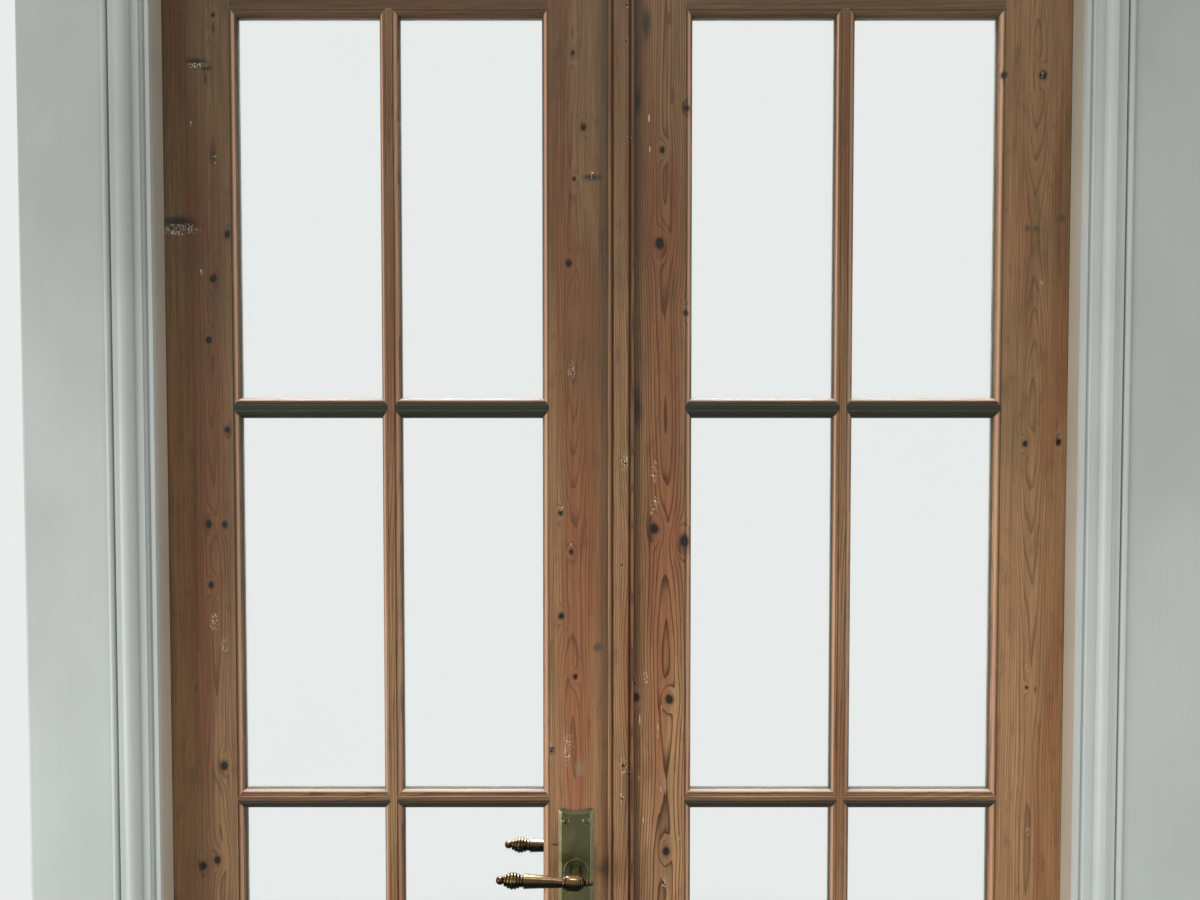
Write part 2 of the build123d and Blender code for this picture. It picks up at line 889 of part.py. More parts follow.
def plate_outline():
    """Outline of a backplate: rounded lobes at the corners with a shallow dip between them."""
    half = plate_width / 2
    slack = plate_lobe * (1 - cos(radians(45)))
    with BuildLine() as section:
        for level, up in ((plate_top, 1), (-plate_bottom, -1)):
            inner = half - plate_lobe
            ThreePointArc((-inner, level), (0, level - up * plate_dip), (inner, level))
            for across in (-1, 1):
                ThreePointArc(
                    (across * inner, level),
                    (across * (half - slack), level - up * slack),
                    (across * half, level - up * plate_lobe),
                )
        for across in (-1, 1):
            Line((across * half, plate_top - plate_lobe), (across * half, plate_lobe - plate_bottom))
    make_face(section.line)


def build_backplate(face, outward):
    """Bevelled plate with a raised ring round the lever's shank, a keyhole and sunk screw holes."""
    plane = handle_plane(face, outward)
    with BuildPart() as plate:
        with BuildSketch(plane):
            plate_outline()
        extrude(amount=plate_base)
        with BuildSketch(plane.offset(plate_base)):
            plate_outline()
        extrude(amount=plate_bevel_rise, taper=degrees(atan(plate_bevel_width / plate_bevel_rise)))
        with Locations(plane.offset(plate_thickness)):
            Torus(ring_radius, ring_section)
        with BuildSketch(plane):
            Circle(shank_radius + shank_play)
            with Locations((0, -key_drop)):
                Circle(key_radius)
            with Locations((0, -key_drop - key_slot_drop / 2)):
                Rectangle(key_slot_width, key_slot_drop)
        extrude(amount=plate_thickness + ring_section, mode=Mode.SUBTRACT)
        for across, up in plate_screw_points():
            with Locations(plane.offset(plate_thickness) * Location((across, up, 0))):
                CounterSinkHole(screw_shank + screw_play, screw_radius + screw_play)
    return plate


def add_screws(face, outward):
    """Countersunk screws of one backplate, seated in the plate and the stile."""
    plane = handle_plane(face, outward)
    cone = screw_radius - screw_shank
    for across, up in plate_screw_points():
        seat = plane.offset(plate_thickness) * Location((across, up, 0))
        with Locations(seat * Location((0, 0, -cone / 2))):
            Cone(screw_shank, screw_radius, cone)
        with Locations(seat * Location((0, 0, -screw_length / 2))):
            Cylinder(screw_shank, screw_length)


def bead(start, end, valley, crown):
    """Half-round bead of a turned profile."""
    ThreePointArc((start, valley), ((start + end) / 2, crown), (end, valley))


def lever_profile():
    """Upper half of the turned lever, from the small finial at the hub to the ball at the tip."""
    hub_bead = barrel_end + hub_bead_width
    collar = grip_end + collar_width
    beads_end = collar + bead_pitch * len(bead_radii)
    back_ring = barrel_start - back_ring_width
    back_waist = back_ring - back_taper
    back_bead = back_waist - back_bead_width
    back_run = sqrt(back_ball ** 2 - (back_neck / 2) ** 2)
    tip_run = sqrt(tip_ball ** 2 - tip_neck ** 2)
    with BuildLine() as section:
        end = back_bead - back_run - back_ball
        ThreePointArc((end, 0), (back_bead - back_run, back_ball), (back_bead, back_neck / 2))
        Line((back_bead, back_neck / 2), (back_bead, back_neck))
        bead(back_bead, back_waist, back_neck, back_bead_radius)
        Line((back_waist, back_neck), (back_ring, back_ring_radius - bead_valley))
        bead(back_ring, barrel_start, back_ring_radius - bead_valley, back_ring_radius)
        Line((barrel_start, back_ring_radius - bead_valley), (barrel_start, barrel_radius))
        bead(barrel_start, barrel_end, barrel_radius, barrel_radius + barrel_swell)
        Line((barrel_end, barrel_radius), (barrel_end, hub_bead_radius - bead_valley))
        bead(barrel_end, hub_bead, hub_bead_radius - bead_valley, hub_bead_radius)
        Line((hub_bead, hub_bead_radius - bead_valley), (hub_bead, grip_small))
        Line((hub_bead, grip_small), (grip_end, grip_large))
        Line((grip_end, grip_large), (grip_end, collar_radius - bead_valley))
        bead(grip_end, collar, collar_radius - bead_valley, collar_radius)
        low = collar_radius - bead_valley
        start = collar
        for crown in bead_radii:
            valley = crown - bead_valley
            Line((start, low), (start, valley))
            bead(start, start + bead_pitch, valley, crown)
            low = valley
            start += bead_pitch
        Line((beads_end, low), (beads_end, tip_neck))
        centre = beads_end + tip_run
        ThreePointArc((beads_end, tip_neck), (centre, tip_ball), (centre + tip_ball, 0))
        Line((centre + tip_ball, 0), (end, 0))
    make_face(section.line)


def build_lever(face, outward):
    """Turned lever with its shank, which turns in the backplate and holds the spindle."""
    lift = radians(lever_lift)
    hub = (spindle_x, face + outward * lever_stand, spindle_z)
    along = Plane(origin=hub, x_dir=(-cos(lift), 0, sin(lift)), z_dir=(0, 1, 0))
    plane = handle_plane(face, outward)
    with BuildPart() as lever:
        with BuildSketch(along):
            lever_profile()
        revolve(axis=Axis(hub, (-cos(lift), 0, sin(lift))))
        with BuildSketch(plane):
            Circle(shank_radius)
        with BuildSketch(plane.offset(socket_depth)):
            Circle(shank_radius)
        with BuildSketch(plane.offset(lever_stand)):
            Circle(shank_waist)
        loft()
        spindle_body(Mode.SUBTRACT)
    return lever


def spindle_body(mode):
    """Square spindle from lever to lever."""
    with Locations((spindle_x, leaf_mid, spindle_z)):
        Box(spindle_side, leaf_thickness + 2 * lever_stand - 2 * socket_depth, spindle_side, mode=mode)


faces = {"inner": (leaf_in, -1), "outer": (leaf_out, 1)}

for name, (face, outward) in faces.items():
    save(build_backplate(face, outward), f"{name}_backplate")
    save(build_lever(face, outward), f"{name}_lever")

with BuildPart() as spindle:
    spindle_body(Mode.ADD)
save(spindle, "spindle")

with BuildPart() as backplate_screws:
    for face, outward in faces.values():
        add_screws(face, outward)
save(backplate_screws, "backplate_screws")


# Right leaf's astragal, strike and flush bolts

def astragal_half():
    """Right half of the astragal's section: raised middle, quirk and edge bead."""
    middle = astragal_middle / 2
    half = astragal_width / 2
    inner = half - astragal_bead
    turn = astragal_round * (1 - cos(radians(45)))
    Line((0, astragal_thickness), (middle - astragal_round, astragal_thickness))
    ThreePointArc(
        (middle - astragal_round, astragal_thickness),
        (middle - turn, astragal_thickness - turn),
        (middle, astragal_thickness - astragal_round),
    )
    Polyline((middle, astragal_thickness - astragal_round), (middle, astragal_quirk),
             (inner, astragal_quirk), (inner, astragal_shoulder))
    ThreePointArc((inner, astragal_shoulder),
                  (inner + astragal_bead / 2, astragal_shoulder + astragal_bead / 2),
                  (half, astragal_shoulder))
    Polyline((half, astragal_shoulder), (half, 0), (0, 0))


with BuildPart() as astragal:
    low = sill_stop + astragal_end_gap
    strip = Plane(origin=(astragal_offset, leaf_in, low), x_dir=(-1, 0, 0), z_dir=(0, 0, 1))
    with BuildSketch(strip):
        with BuildLine():
            astragal_half()
            mirror(about=Plane.YZ)
        make_face()
    extrude(amount=head_stop - astragal_end_gap - low)
    block((edge_x, leaf_in, low),
          (astragal_offset - astragal_width / 2, leaf_in - astragal_play, head_stop), Mode.SUBTRACT)
save(astragal, "astragal")

with BuildPart() as strike_plate:
    strike_body(Mode.ADD)
    strike_pockets(Mode.SUBTRACT)
save(strike_plate, "strike_plate")

for name, (end, toward) in leaf_ends.items():
    near = end + toward * flush_setback
    with BuildPart() as flush_bolt:
        bolt_hole(near, toward * (flush_length - flush_setback), flush_radius, Mode.ADD)
        block(
            (edge_x + flush_play, leaf_mid - flush_thumb_width / 2, end + toward * flush_length),
            (edge_x + flush_depth, leaf_mid + flush_thumb_width / 2,
             end + toward * (flush_length - flush_thumb)),
        )
    save(flush_bolt, f"flush_bolt_{name}")

with BuildPart() as flush_plates:
    for end, toward in leaf_ends.values():
        flush_plate(end, toward, Mode.ADD)
        flush_slot(end, toward, flush_plate_thickness, Mode.SUBTRACT)
save(flush_plates, "flush_bolt_plates")
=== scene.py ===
# %% [markdown]
# # Old glazed doors in a painted frame
# This lesson dresses a pair of pine french doors that are already built as solids. The solids give
# every size and place. What is left to make here is what the eye reads as age and material: stripped
# and waxed pine with its rings and knots, thick old paint, tarnished brass and clear panes. We load
# the solids first.

# %% Load the doors
import json
import random
from math import pi, radians

import bmesh
import bpy
from mathutils import Matrix, Vector


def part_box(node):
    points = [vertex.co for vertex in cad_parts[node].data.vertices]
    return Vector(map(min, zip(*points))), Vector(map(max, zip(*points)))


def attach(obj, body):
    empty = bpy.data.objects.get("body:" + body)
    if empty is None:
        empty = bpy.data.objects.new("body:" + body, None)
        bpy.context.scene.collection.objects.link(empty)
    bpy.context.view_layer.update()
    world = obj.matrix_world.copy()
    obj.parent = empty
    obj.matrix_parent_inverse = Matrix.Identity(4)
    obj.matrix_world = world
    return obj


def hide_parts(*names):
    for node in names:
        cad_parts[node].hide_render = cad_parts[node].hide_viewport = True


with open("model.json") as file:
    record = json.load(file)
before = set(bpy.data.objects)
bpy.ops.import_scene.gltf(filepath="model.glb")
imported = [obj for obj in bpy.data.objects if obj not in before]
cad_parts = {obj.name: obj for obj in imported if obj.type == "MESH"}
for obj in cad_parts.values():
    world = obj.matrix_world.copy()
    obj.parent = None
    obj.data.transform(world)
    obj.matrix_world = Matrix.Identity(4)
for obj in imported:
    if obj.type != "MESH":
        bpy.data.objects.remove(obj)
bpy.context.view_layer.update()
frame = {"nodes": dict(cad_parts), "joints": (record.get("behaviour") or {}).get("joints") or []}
nodes = frame["nodes"]
joints = {joint["name"]: joint for joint in frame["joints"]}
MM = 0.001

# %% [markdown]
# ## Where the viewer stands
# The doors were seen from inside the room, from about a long step away and with the eye well above
# the lever, looking a little downwards. A camera could be aimed with a constraint at a target. A
# plain height, distance and tilt say more, and they are easy to measure and to correct by hand.

# %% Camera
EYE = Vector((-0.0223, -1.5697, 1.6555))
TILT_DOWN = 2.262
FOCAL_LENGTH = 36.0
SENSOR_WIDTH = 36.0
NEAREST_SEEN = 0.05
PICTURE_WIDTH = 1200
AXIS_BELOW_MIDDLE = 60

camera = bpy.data.objects.new("eye", bpy.data.cameras.new("eye"))
bpy.context.scene.collection.objects.link(camera)
camera.location = EYE
camera.rotation_euler = (radians(90 - TILT_DOWN), 0, 0)
camera.data.sensor_width = SENSOR_WIDTH
camera.data.lens = FOCAL_LENGTH
camera.data.shift_y = AXIS_BELOW_MIDDLE / PICTURE_WIDTH
camera.data.clip_start = NEAREST_SEEN
bpy.context.scene.camera = camera
bpy.context.scene.view_settings.view_transform = "Standard"
print("eye at", tuple(round(value, 3) for value in EYE), "looking down by", TILT_DOWN, "degrees")

# %% [markdown]
# ## Short words for long node trees
# Every finish below is a tree of nodes. Nodes can be added one by one with three lines each, which
# hides the idea under bookkeeping. This small class wraps one material and gives one word for each
# step, so that a finish reads almost like a recipe. Values that are the same all over a surface
# go straight onto the shader's own sockets.

# %% A material as a recipe
class Finish:
    """One material, with short ways to add and join its nodes."""

    def __init__(self, name, **same_all_over):
        self.material = bpy.data.materials.new(name)
        self.material.use_nodes = True
        self.tree = self.material.node_tree
        self.shader = self.tree.nodes["Principled BSDF"]
        for socket, value in same_all_over.items():
            self.shader.inputs[socket.replace("_", " ")].default_value = value

    def feed(self, socket, value):
        """Join a socket to another node's output, or set it to a plain value."""
        if isinstance(value, bpy.types.NodeSocket):
            self.tree.links.new(value, socket)
        else:
            socket.default_value = value

    def node(self, kind, inputs=None, **settings):
        """Add a node, choose its settings and feed its inputs by name."""
        made = self.tree.nodes.new(kind)
        for name, value in settings.items():
            setattr(made, name, value)
        for name, value in (inputs or {}).items():
            self.feed(made.inputs[name], value)
        return made

    def math(self, operation, *values):
        """Add one sum of plain values or other nodes' outputs."""
        made = self.node("ShaderNodeMath", operation=operation)
        for index, value in enumerate(values):
            self.feed(made.inputs[index], value)
        return made.outputs[0]

    def fade(self, value, start, end, low=0.0, high=1.0):
        """Smooth step of a value from one level to another."""
        inputs = {"Value": value, "From Min": start, "From Max": end, "To Min": low, "To Max": high}
        return self.node("ShaderNodeMapRange", inputs, interpolation_type="SMOOTHSTEP").outputs[0]


print("recipes ready, built on", bpy.app.version_string)

# %% [markdown]
# Colours and patterns need a few more words: a mix of two colours, a noise that can be stretched, a
# place on the piece, a bump, the height of a spot and how far it faces up. All of them are read in
# the piece's own space, so a pattern stays on the wood when the door swings.

# %% Words for colour and pattern
def rgb(red, green, blue):
    """A colour as a screen shows it, 0 to 255, turned into light."""
    def light(value):
        share = value / 255
        return share / 12.92 if share <= 0.04045 else ((share + 0.055) / 1.055) ** 2.4
    return (light(red), light(green), light(blue), 1.0)


def mix(finish, share, first, second, blend="MIX"):
    """Blend a share of the second colour into the first."""
    made = finish.node("ShaderNodeMix", data_type="RGBA", blend_type=blend)
    for index, value in ((0, share), (6, first), (7, second)):
        finish.feed(made.inputs[index], value)
    return made.outputs[2]


def stretched(finish, place, sizes, shift=0.0):
    """A place divided by a pattern's size along each direction, in metres."""
    scale = tuple(1 / size for size in sizes)
    inputs = {"Vector": place, "Scale": scale, "Location": (shift, shift, shift)}
    return finish.node("ShaderNodeMapping", inputs).outputs[0]


def noise(finish, place, sizes, detail=3.0, roughness=0.5, shift=0.0):
    """Soft random values whose size is given along each direction, in metres."""
    inputs = {"Vector": stretched(finish, place, sizes, shift), "Scale": 1.0,
              "Detail": detail, "Roughness": roughness}
    return finish.node("ShaderNodeTexNoise", inputs).outputs["Fac"]


def own_place(finish):
    """Where a spot lies in the piece's own space."""
    return finish.node("ShaderNodeTexCoord").outputs["Object"]


def bump(finish, height, depth, strength):
    """Shallow relief from a pattern, its depth in metres."""
    inputs = {"Height": height, "Distance": depth, "Strength": strength}
    return finish.node("ShaderNodeBump", inputs).outputs[0]


def facing_up(finish):
    """1 on a surface that faces the sky, 0 on an upright one and -1 below."""
    facing = finish.node("ShaderNodeTexCoord").outputs["Normal"]
    return finish.node("ShaderNodeSeparateXYZ", {"Vector": facing}).outputs[2]


def height_above_floor(finish):
    """The height of a spot in the piece's own space, in metres."""
    return finish.node("ShaderNodeSeparateXYZ", {"Vector": own_place(finish)}).outputs[2]


print("waxed pine as light:", [round(value, 3) for value in rgb(138, 103, 78)[:3]])

# %% [markdown]
# Age shows in two places above all: dirt settles in corners, and hands, cloths and knocks wear the
# edges. Both could be painted by hand. Two nodes feel them instead: one asks how closed a spot is,
# the other compares the true direction of the surface with a rounded one, and where the two differ
# there is an edge. The first darkens corners for grime and as painted shade, since shade falls there
# too; the second lightens edges for wear and, on the pine, as a painted highlight. Wood, paint and
# metal all use them.

# %% Corners and edges
# Painted shade: this darkens closed-in spots, where shade falls, together with the grime that settles
# there.
def corner_shade_and_grime(finish, reach, start, end):
    """How closed a spot is, from 0 in the open to 1 deep in a corner."""
    felt = finish.node("ShaderNodeAmbientOcclusion", {"Distance": reach}, samples=2).outputs["AO"]
    return finish.fade(felt, end, start)


def edge_wear_and_highlight(finish, radius, start, end):
    """1 on sharp edges and 0 on flat stretches."""
    rounded = finish.node("ShaderNodeBevel", {"Radius": radius}, samples=2).outputs[0]
    true = finish.node("ShaderNodeNewGeometry").outputs["Normal"]
    same = finish.node("ShaderNodeVectorMath", operation="DOT_PRODUCT")
    finish.feed(same.inputs[0], rounded)
    finish.feed(same.inputs[1], true)
    return finish.fade(same.outputs["Value"], end, start)


print("corners and edges can be felt")

# %% [markdown]
# ## Pine: the board's own directions
# A board is a slice of a trunk. If the trunk is a set of nested rings round a pith line, the slice
# shows straight lines where it cuts far from the pith, and tall pointed arches where it cuts close.
# So instead of painting lines, we hold a pith line near each board and measure the distance to it.
# For that every board gets three directions: across the grain, along the grain and into the depth.

# %% Grain space
def grain_space(finish, upright, middle):
    """Across, along and depth of a board, in metres, as separate values and as one place."""
    split = finish.node("ShaderNodeSeparateXYZ", {"Vector": own_place(finish)}).outputs
    across_axis, along_axis = (0, 2) if upright else (2, 0)
    across = finish.math("SUBTRACT", split[across_axis], middle)
    along = split[along_axis]
    depth = split[1]
    place = finish.node("ShaderNodeCombineXYZ", {"X": across, "Y": along, "Z": depth}).outputs[0]
    return across, along, depth, place


print("across, along and depth follow each board")

# %% [markdown]
# ## Pine: knots
# A knot is a branch cut through. Three things make it look real: a dark core, a warm halo round it,
# and rings that swerve past it as water swerves past a post. The flow of water round a post has a
# simple formula, so we borrow it: near a knot, the distance across the grain is pulled towards
# the knot's middle by the square of radius over distance. It costs a few nodes for each knot and
# gives the eye shapes that a painted spot never has.

# %% Marks on a board
def near_mark(finish, across, along, mark, stretch):
    """Distance from a mark's middle, counted in its radii, and how far across it lies."""
    side, height, radius = (value * MM for value in mark)
    over = finish.math("SUBTRACT", across, side)
    up = finish.math("MULTIPLY", finish.math("SUBTRACT", along, height), 1 / stretch)
    square = finish.math("ADD", finish.math("MULTIPLY", over, over), finish.math("MULTIPLY", up, up))
    return finish.math("DIVIDE", finish.math("SQRT", square), radius), over


def swerve(finish, across, along, knots):
    """Across values bent round the knots, and the swelling that closes rings into eyes."""
    bent, swell = across, 0.0
    for knot in knots:
        radii, over = near_mark(finish, across, along, knot, KNOT_FLOW)
        near = finish.math("DIVIDE", KNOT_REACH, radii)
        pull = finish.math("MINIMUM", finish.math("POWER", near, 2.0), 1.0)
        bent = finish.math("MULTIPLY_ADD", finish.math("MULTIPLY", over, pull), -1.0, bent)
        swell = finish.math("MULTIPLY_ADD", pull, KNOT_EYE, swell)
    return bent, swell


def nearest(finish, across, along, marks, stretch):
    """Distance to the nearest of some marks, counted in their radii."""
    closest = FAR_AWAY
    for mark in marks:
        closest = finish.math("MINIMUM", near_mark(finish, across, along, mark, stretch)[0], closest)
    return closest


KNOT_FLOW = 1.9
KNOT_REACH = 1.7
KNOT_EYE = 1.4
FAR_AWAY = 99.0
print("rings swerve within about", KNOT_REACH, "radii of a knot")

# %% [markdown]
# ## Pine: the finish
# Stripped pine has a grey-brown, slightly dirty warmth, because the old paint stays in the pores.
# We build it in layers: two tones in slow patches, the dark late-summer edge of each ring, fine
# fibres, then knots, stains and flecks of white paint that the stripping left. The ring edge is a
# saw tooth, slow to darken and quick to lighten, because a tree stops growing suddenly in autumn.

# %% Colours of waxed pine
PINE_TAN = rgb(177, 135, 95)
PINE_RED = rgb(157, 103, 69)
PINE_RING = rgb(84, 52, 34)
PINE_GREY = rgb(130, 106, 76)
# Pale tone for worn edges and for the painted highlight on them.
PINE_WORN_AND_HIGHLIT = rgb(196, 154, 118)
PINE_HANDLED = rgb(190, 153, 116)
KNOT_CORE = rgb(12, 21, 20)
KNOT_HALO = rgb(88, 52, 36)
SHADE = rgb(22, 32, 32)
# Dark tone for smoke, blotches and painted shade.
SMOKE_AND_SHADE = rgb(48, 48, 35)
# Dark tone for soot, grime and dark lines, and for painted shade and painted shadow.
SOOT_AND_SHADE = rgb(32, 37, 30)
# Pale tone for dust and for the painted highlight on surfaces that face up.
DUST_AND_HIGHLIGHT = rgb(206, 184, 166)
# Painted highlight on the crest of a moulding beside the glass.
CREST_HIGHLIGHT = rgb(224, 178, 148)
STAIN = rgb(70, 68, 56)
RESIDUE = rgb(216, 204, 184)
FILLER = rgb(150, 132, 108)
RINGS = (2.5, 0.72)
print("rings are", RINGS[0], "mm wide and", RINGS[1], "dark on an even board")

# %% [markdown]
# A ring count is the distance to the pith divided by a ring's width. The pith wanders a little along
# the board and every count is a bit ragged, as summers were, so no two arches are alike.

# %% Rings of a board
def rings(finish, across, along, depth, place, pith, lean, swell, width):
    """Saw tooth of the year rings, 0 just after winter and 1 at the end of summer."""
    drift = noise(finish, place, DRIFT, detail=1.0, shift=pith[0] * 40)
    side = finish.math("SUBTRACT", across, pith[0])
    inward = finish.math("MULTIPLY_ADD", along, lean, finish.math("SUBTRACT", depth, pith[1]))
    inward = finish.math("MULTIPLY_ADD", drift, PITH_WANDER, inward)
    sideways = finish.math("MULTIPLY", side, side)
    square = finish.math("ADD", sideways, finish.math("MULTIPLY", inward, inward))
    count = finish.math("DIVIDE", finish.math("SQRT", square), width * MM)
    ragged = noise(finish, place, RAGGED, detail=2.0)
    count = finish.math("MULTIPLY_ADD", ragged, RING_RAGGED, count)
    return finish.math("FRACT", finish.math("ADD", count, swell))


DRIFT = (0.20, 0.45, 0.20)
RAGGED = (0.012, 0.22, 0.012)
PITH_WANDER = 0.045
RING_RAGGED = 1.0
print("rings wander by", PITH_WANDER / MM, "mm over a board")

# %% [markdown]
# One more thing makes these boards look old. Smoke and soot from open fires rise, so the wood is
# darker high up, on the rails and bars that nobody wipes, and beside every joint. This darkening is
# painted shade as well: of light that falls off upwards, under the bars and beside the joints. A veil
# of one dark tone does all of it. Its strength low down and high up are values of each board. Thin
# dark lines lie where a moulding meets a flat, painted shadow lines run along the glass, a painted
# highlight lies on the crest beside them, and pale dust with a painted highlight lies on every edge
# that faces the sky.

# %% Smoke and grime
def smoked_and_shaded(finish, colour, smoke_and_shade):
    """A paler, handled foot and a dark veil that thickens with the height above the floor: smoky soiling,
    and painted shade of light that falls off upwards.
    """
    height = height_above_floor(finish)
    foot = finish.fade(height, HANDLED_TO, HANDLED_FROM, 0.0, HANDLED_SHARE)
    colour = mix(finish, foot, colour, PINE_HANDLED)
    # Painted shade: the veil darkens the wood towards the top, for light that falls off upwards, as well
    # as for smoke.
    return mix(finish, finish.fade(height, SMOKE_AND_SHADE_FROM, SMOKE_AND_SHADE_FULL, *smoke_and_shade), colour, SMOKE_AND_SHADE)


def sooted_and_shaded(finish, colour, across, soot_and_shade):
    """Grime and painted shade beside a joint: (clean line, corner line, strength) across the board."""
    # Painted shade: a dark band fades in across the board, beside a joint or under a bar, together with
    # grime.
    for clean, corner, strength in soot_and_shade:
        if corner > clean:
            cover = finish.fade(across, clean * MM, corner * MM, 0.0, strength)
        else:
            cover = finish.fade(across, corner * MM, clean * MM, strength, 0.0)
        colour = mix(finish, cover, colour, SOOT_AND_SHADE)
    return colour


def lined(finish, colour, across, lines):
    """Thin lines along a moulding: (place across, half width, tone, strength); dark lines, painted shadow
    lines and painted highlights.
    """
    for place, reach, tone, strength in lines:
        off = finish.math("ABSOLUTE", finish.math("SUBTRACT", across, place * MM))
        cover = finish.fade(off, reach * MM, reach * 0.4 * MM, 0.0, strength)
        colour = mix(finish, cover, colour, tone)
    return colour


def dusted_and_highlit(finish, colour):
    """Pale dust and a painted highlight on every moulding that faces the sky."""
    # Painted highlight: surfaces that face up are paler, as where the sky lights them, together with
    # dust.
    dust = finish.fade(facing_up(finish), DUST_AND_HIGHLIGHT_FROM, DUST_AND_HIGHLIGHT_FULL, 0.0, DUST_AND_HIGHLIGHT_SHARE)
    return mix(finish, dust, colour, DUST_AND_HIGHLIGHT)


SMOKE_AND_SHADE_FROM = 1.15
SMOKE_AND_SHADE_FULL = 2.30
HANDLED_FROM = 1.20
HANDLED_TO = 1.80
HANDLED_SHARE = 0.06
DUST_AND_HIGHLIGHT_FROM = 0.46
DUST_AND_HIGHLIGHT_FULL = 0.68
DUST_AND_HIGHLIGHT_SHARE = 0.62
print("smoke rises from", SMOKE_AND_SHADE_FROM, "to", SMOKE_AND_SHADE_FULL, "m")

# %% [markdown]
# Marks lie on top of the rings. For each kind we hold how much longer than wide it is and the tones
# that it lays on, each from an inner to an outer radius. Paint that the stripping left is broken up
# by a speckle, while knots and stains are whole.

# %% Knots, stains and flecks of old paint
def pine_marks(finish, colour, across, along, place, marks):
    """Lay the marks of one board over its colour, kind by kind."""
    ragged = noise(finish, place, MARK_EDGE, detail=4.0)
    speckle = noise(finish, place, SPECKLE, detail=2.0, roughness=0.6)
    wobble = finish.math("MULTIPLY_ADD", ragged, WOBBLE, -WOBBLE / 2)
    for kind, stretch, layers in MARK_KINDS:
        places = marks.get(kind, [])
        if not places:
            continue
        radii = finish.math("ADD", nearest(finish, across, along, places, stretch), wobble)
        for tone, inner, outer, strength, broken_up in layers:
            cover = finish.fade(radii, outer, inner, 0.0, strength)
            if broken_up:
                cover = finish.math("MULTIPLY", cover, finish.fade(speckle, 0.57, 0.63))
            colour = mix(finish, cover, colour, tone)
    return colour


MARK_EDGE = (0.006, 0.009, 0.006)
SPECKLE = (0.0015, 0.0026, 0.0015)
WOBBLE = 0.9
MARK_KINDS = (
    ("stain", 1.0, ((STAIN, 0.5, 1.3, 0.70, False),)),
    ("filler", 1.8, ((FILLER, 0.3, 1.3, 0.50, False),)),
    ("shade", 3.4, ((SHADE, 0.1, 1.5, 0.78, False),)),
    ("eye", 3.2, ((KNOT_HALO, 0.6, 1.3, 0.80, False),)),
    ("knot", 1.25, ((KNOT_HALO, 1.1, 2.1, 0.36, False), (KNOT_CORE, 0.65, 1.35, 0.96, False))),
    ("smear", 0.36, ((SHADE, 0.1, 1.4, 0.88, False),)),
    ("spatter", 0.30, ((RESIDUE, 0.7, 1.2, 0.95, True),)),
    ("hole", 1.0, ((RESIDUE, 1.0, 1.9, 0.75, True), (KNOT_CORE, 0.7, 1.0, 0.92, False))),
    ("fleck", 2.2, ((RESIDUE, 0.6, 1.2, 0.95, True),)),
    ("scratch", 9.0, ((RESIDUE, 0.6, 1.0, 0.90, False),)),
)
print("kinds of marks:", ", ".join(kind for kind, _, _ in MARK_KINDS))

# %% [markdown]
# The colour of one board starts from a tan and a red tone in slow patches, faded grey here and
# there. Smoke with painted shade of light falling off upwards, and small blotches, come over them.
# Fine fibres and long streaks then lighten and darken what is there. Sizes are across, along and
# into the board, in metres.

# %% Tones and fibres
PATCH = (0.045, 0.55, 0.045)
FADED = (0.07, 0.25, 0.07)
FADED_SHARE = 0.55
BLOTCH = (0.012, 0.040, 0.012)
BLOTCH_SHARE = 0.30
FIBRE = (0.0013, 0.06, 0.0013)
STREAK = (0.0034, 0.42, 0.0034)


def pine_tones(finish, place, pith, smoke_and_shade, tan):
    """Patches, fading, a smoky veil with painted shade, and blotches of one board."""
    patch = noise(finish, place, PATCH, detail=2.0, shift=pith[1] * 90)
    faded = noise(finish, place, FADED, detail=4.0, shift=pith[0] * 50)
    blotch = noise(finish, place, BLOTCH, detail=5.0, roughness=0.65, shift=pith[0] * 30)
    colour = mix(finish, finish.fade(patch, 0.38 + tan, 0.62 + tan), PINE_TAN, PINE_RED)
    colour = mix(finish, finish.fade(faded, 0.50, 0.72, 0.0, FADED_SHARE), colour, PINE_GREY)
    colour = smoked_and_shaded(finish, colour, smoke_and_shade)
    return mix(finish, finish.fade(blotch, 0.52, 0.72, 0.0, BLOTCH_SHARE), colour, SMOKE_AND_SHADE)


def grained(finish, colour, *patterns):
    """A colour darkened and lightened by fine patterns: (pattern, darkest, lightest)."""
    for pattern, darkest, lightest in patterns:
        tone = finish.fade(pattern, 0.28, 0.72, darkest, lightest)
        inputs = {"Red": tone, "Green": tone, "Blue": tone}
        grey = finish.node("ShaderNodeCombineColor", inputs).outputs[0]
        colour = mix(finish, 1.0, colour, grey, "MULTIPLY")
    return colour


print("fibres are", FIBRE[0] / MM, "mm wide, streaks", STREAK[0] / MM, "mm")

# %% [markdown]
# Now the layers are put on in the order in which they came to the real wood: tones with their smoke
# and painted shade, rings and fibres, then soot with painted shade beside the joints, dust with a
# painted highlight on top, dark lines with painted shadow and highlight along the glass, then knots
# and marks, and last the worn edges with a painted highlight and the grime with painted shade in the
# corners. Late wood is harder, so it stands a little proud and shines a little more.

# %% Pine finish
WORN_AND_HIGHLIT_EDGE = 0.9 * MM
WORN_AND_HIGHLIT_SHARE = 0.42
SHADE_AND_GRIME_REACH = 3 * MM
SHADE_AND_GRIME_SHARE = 0.45


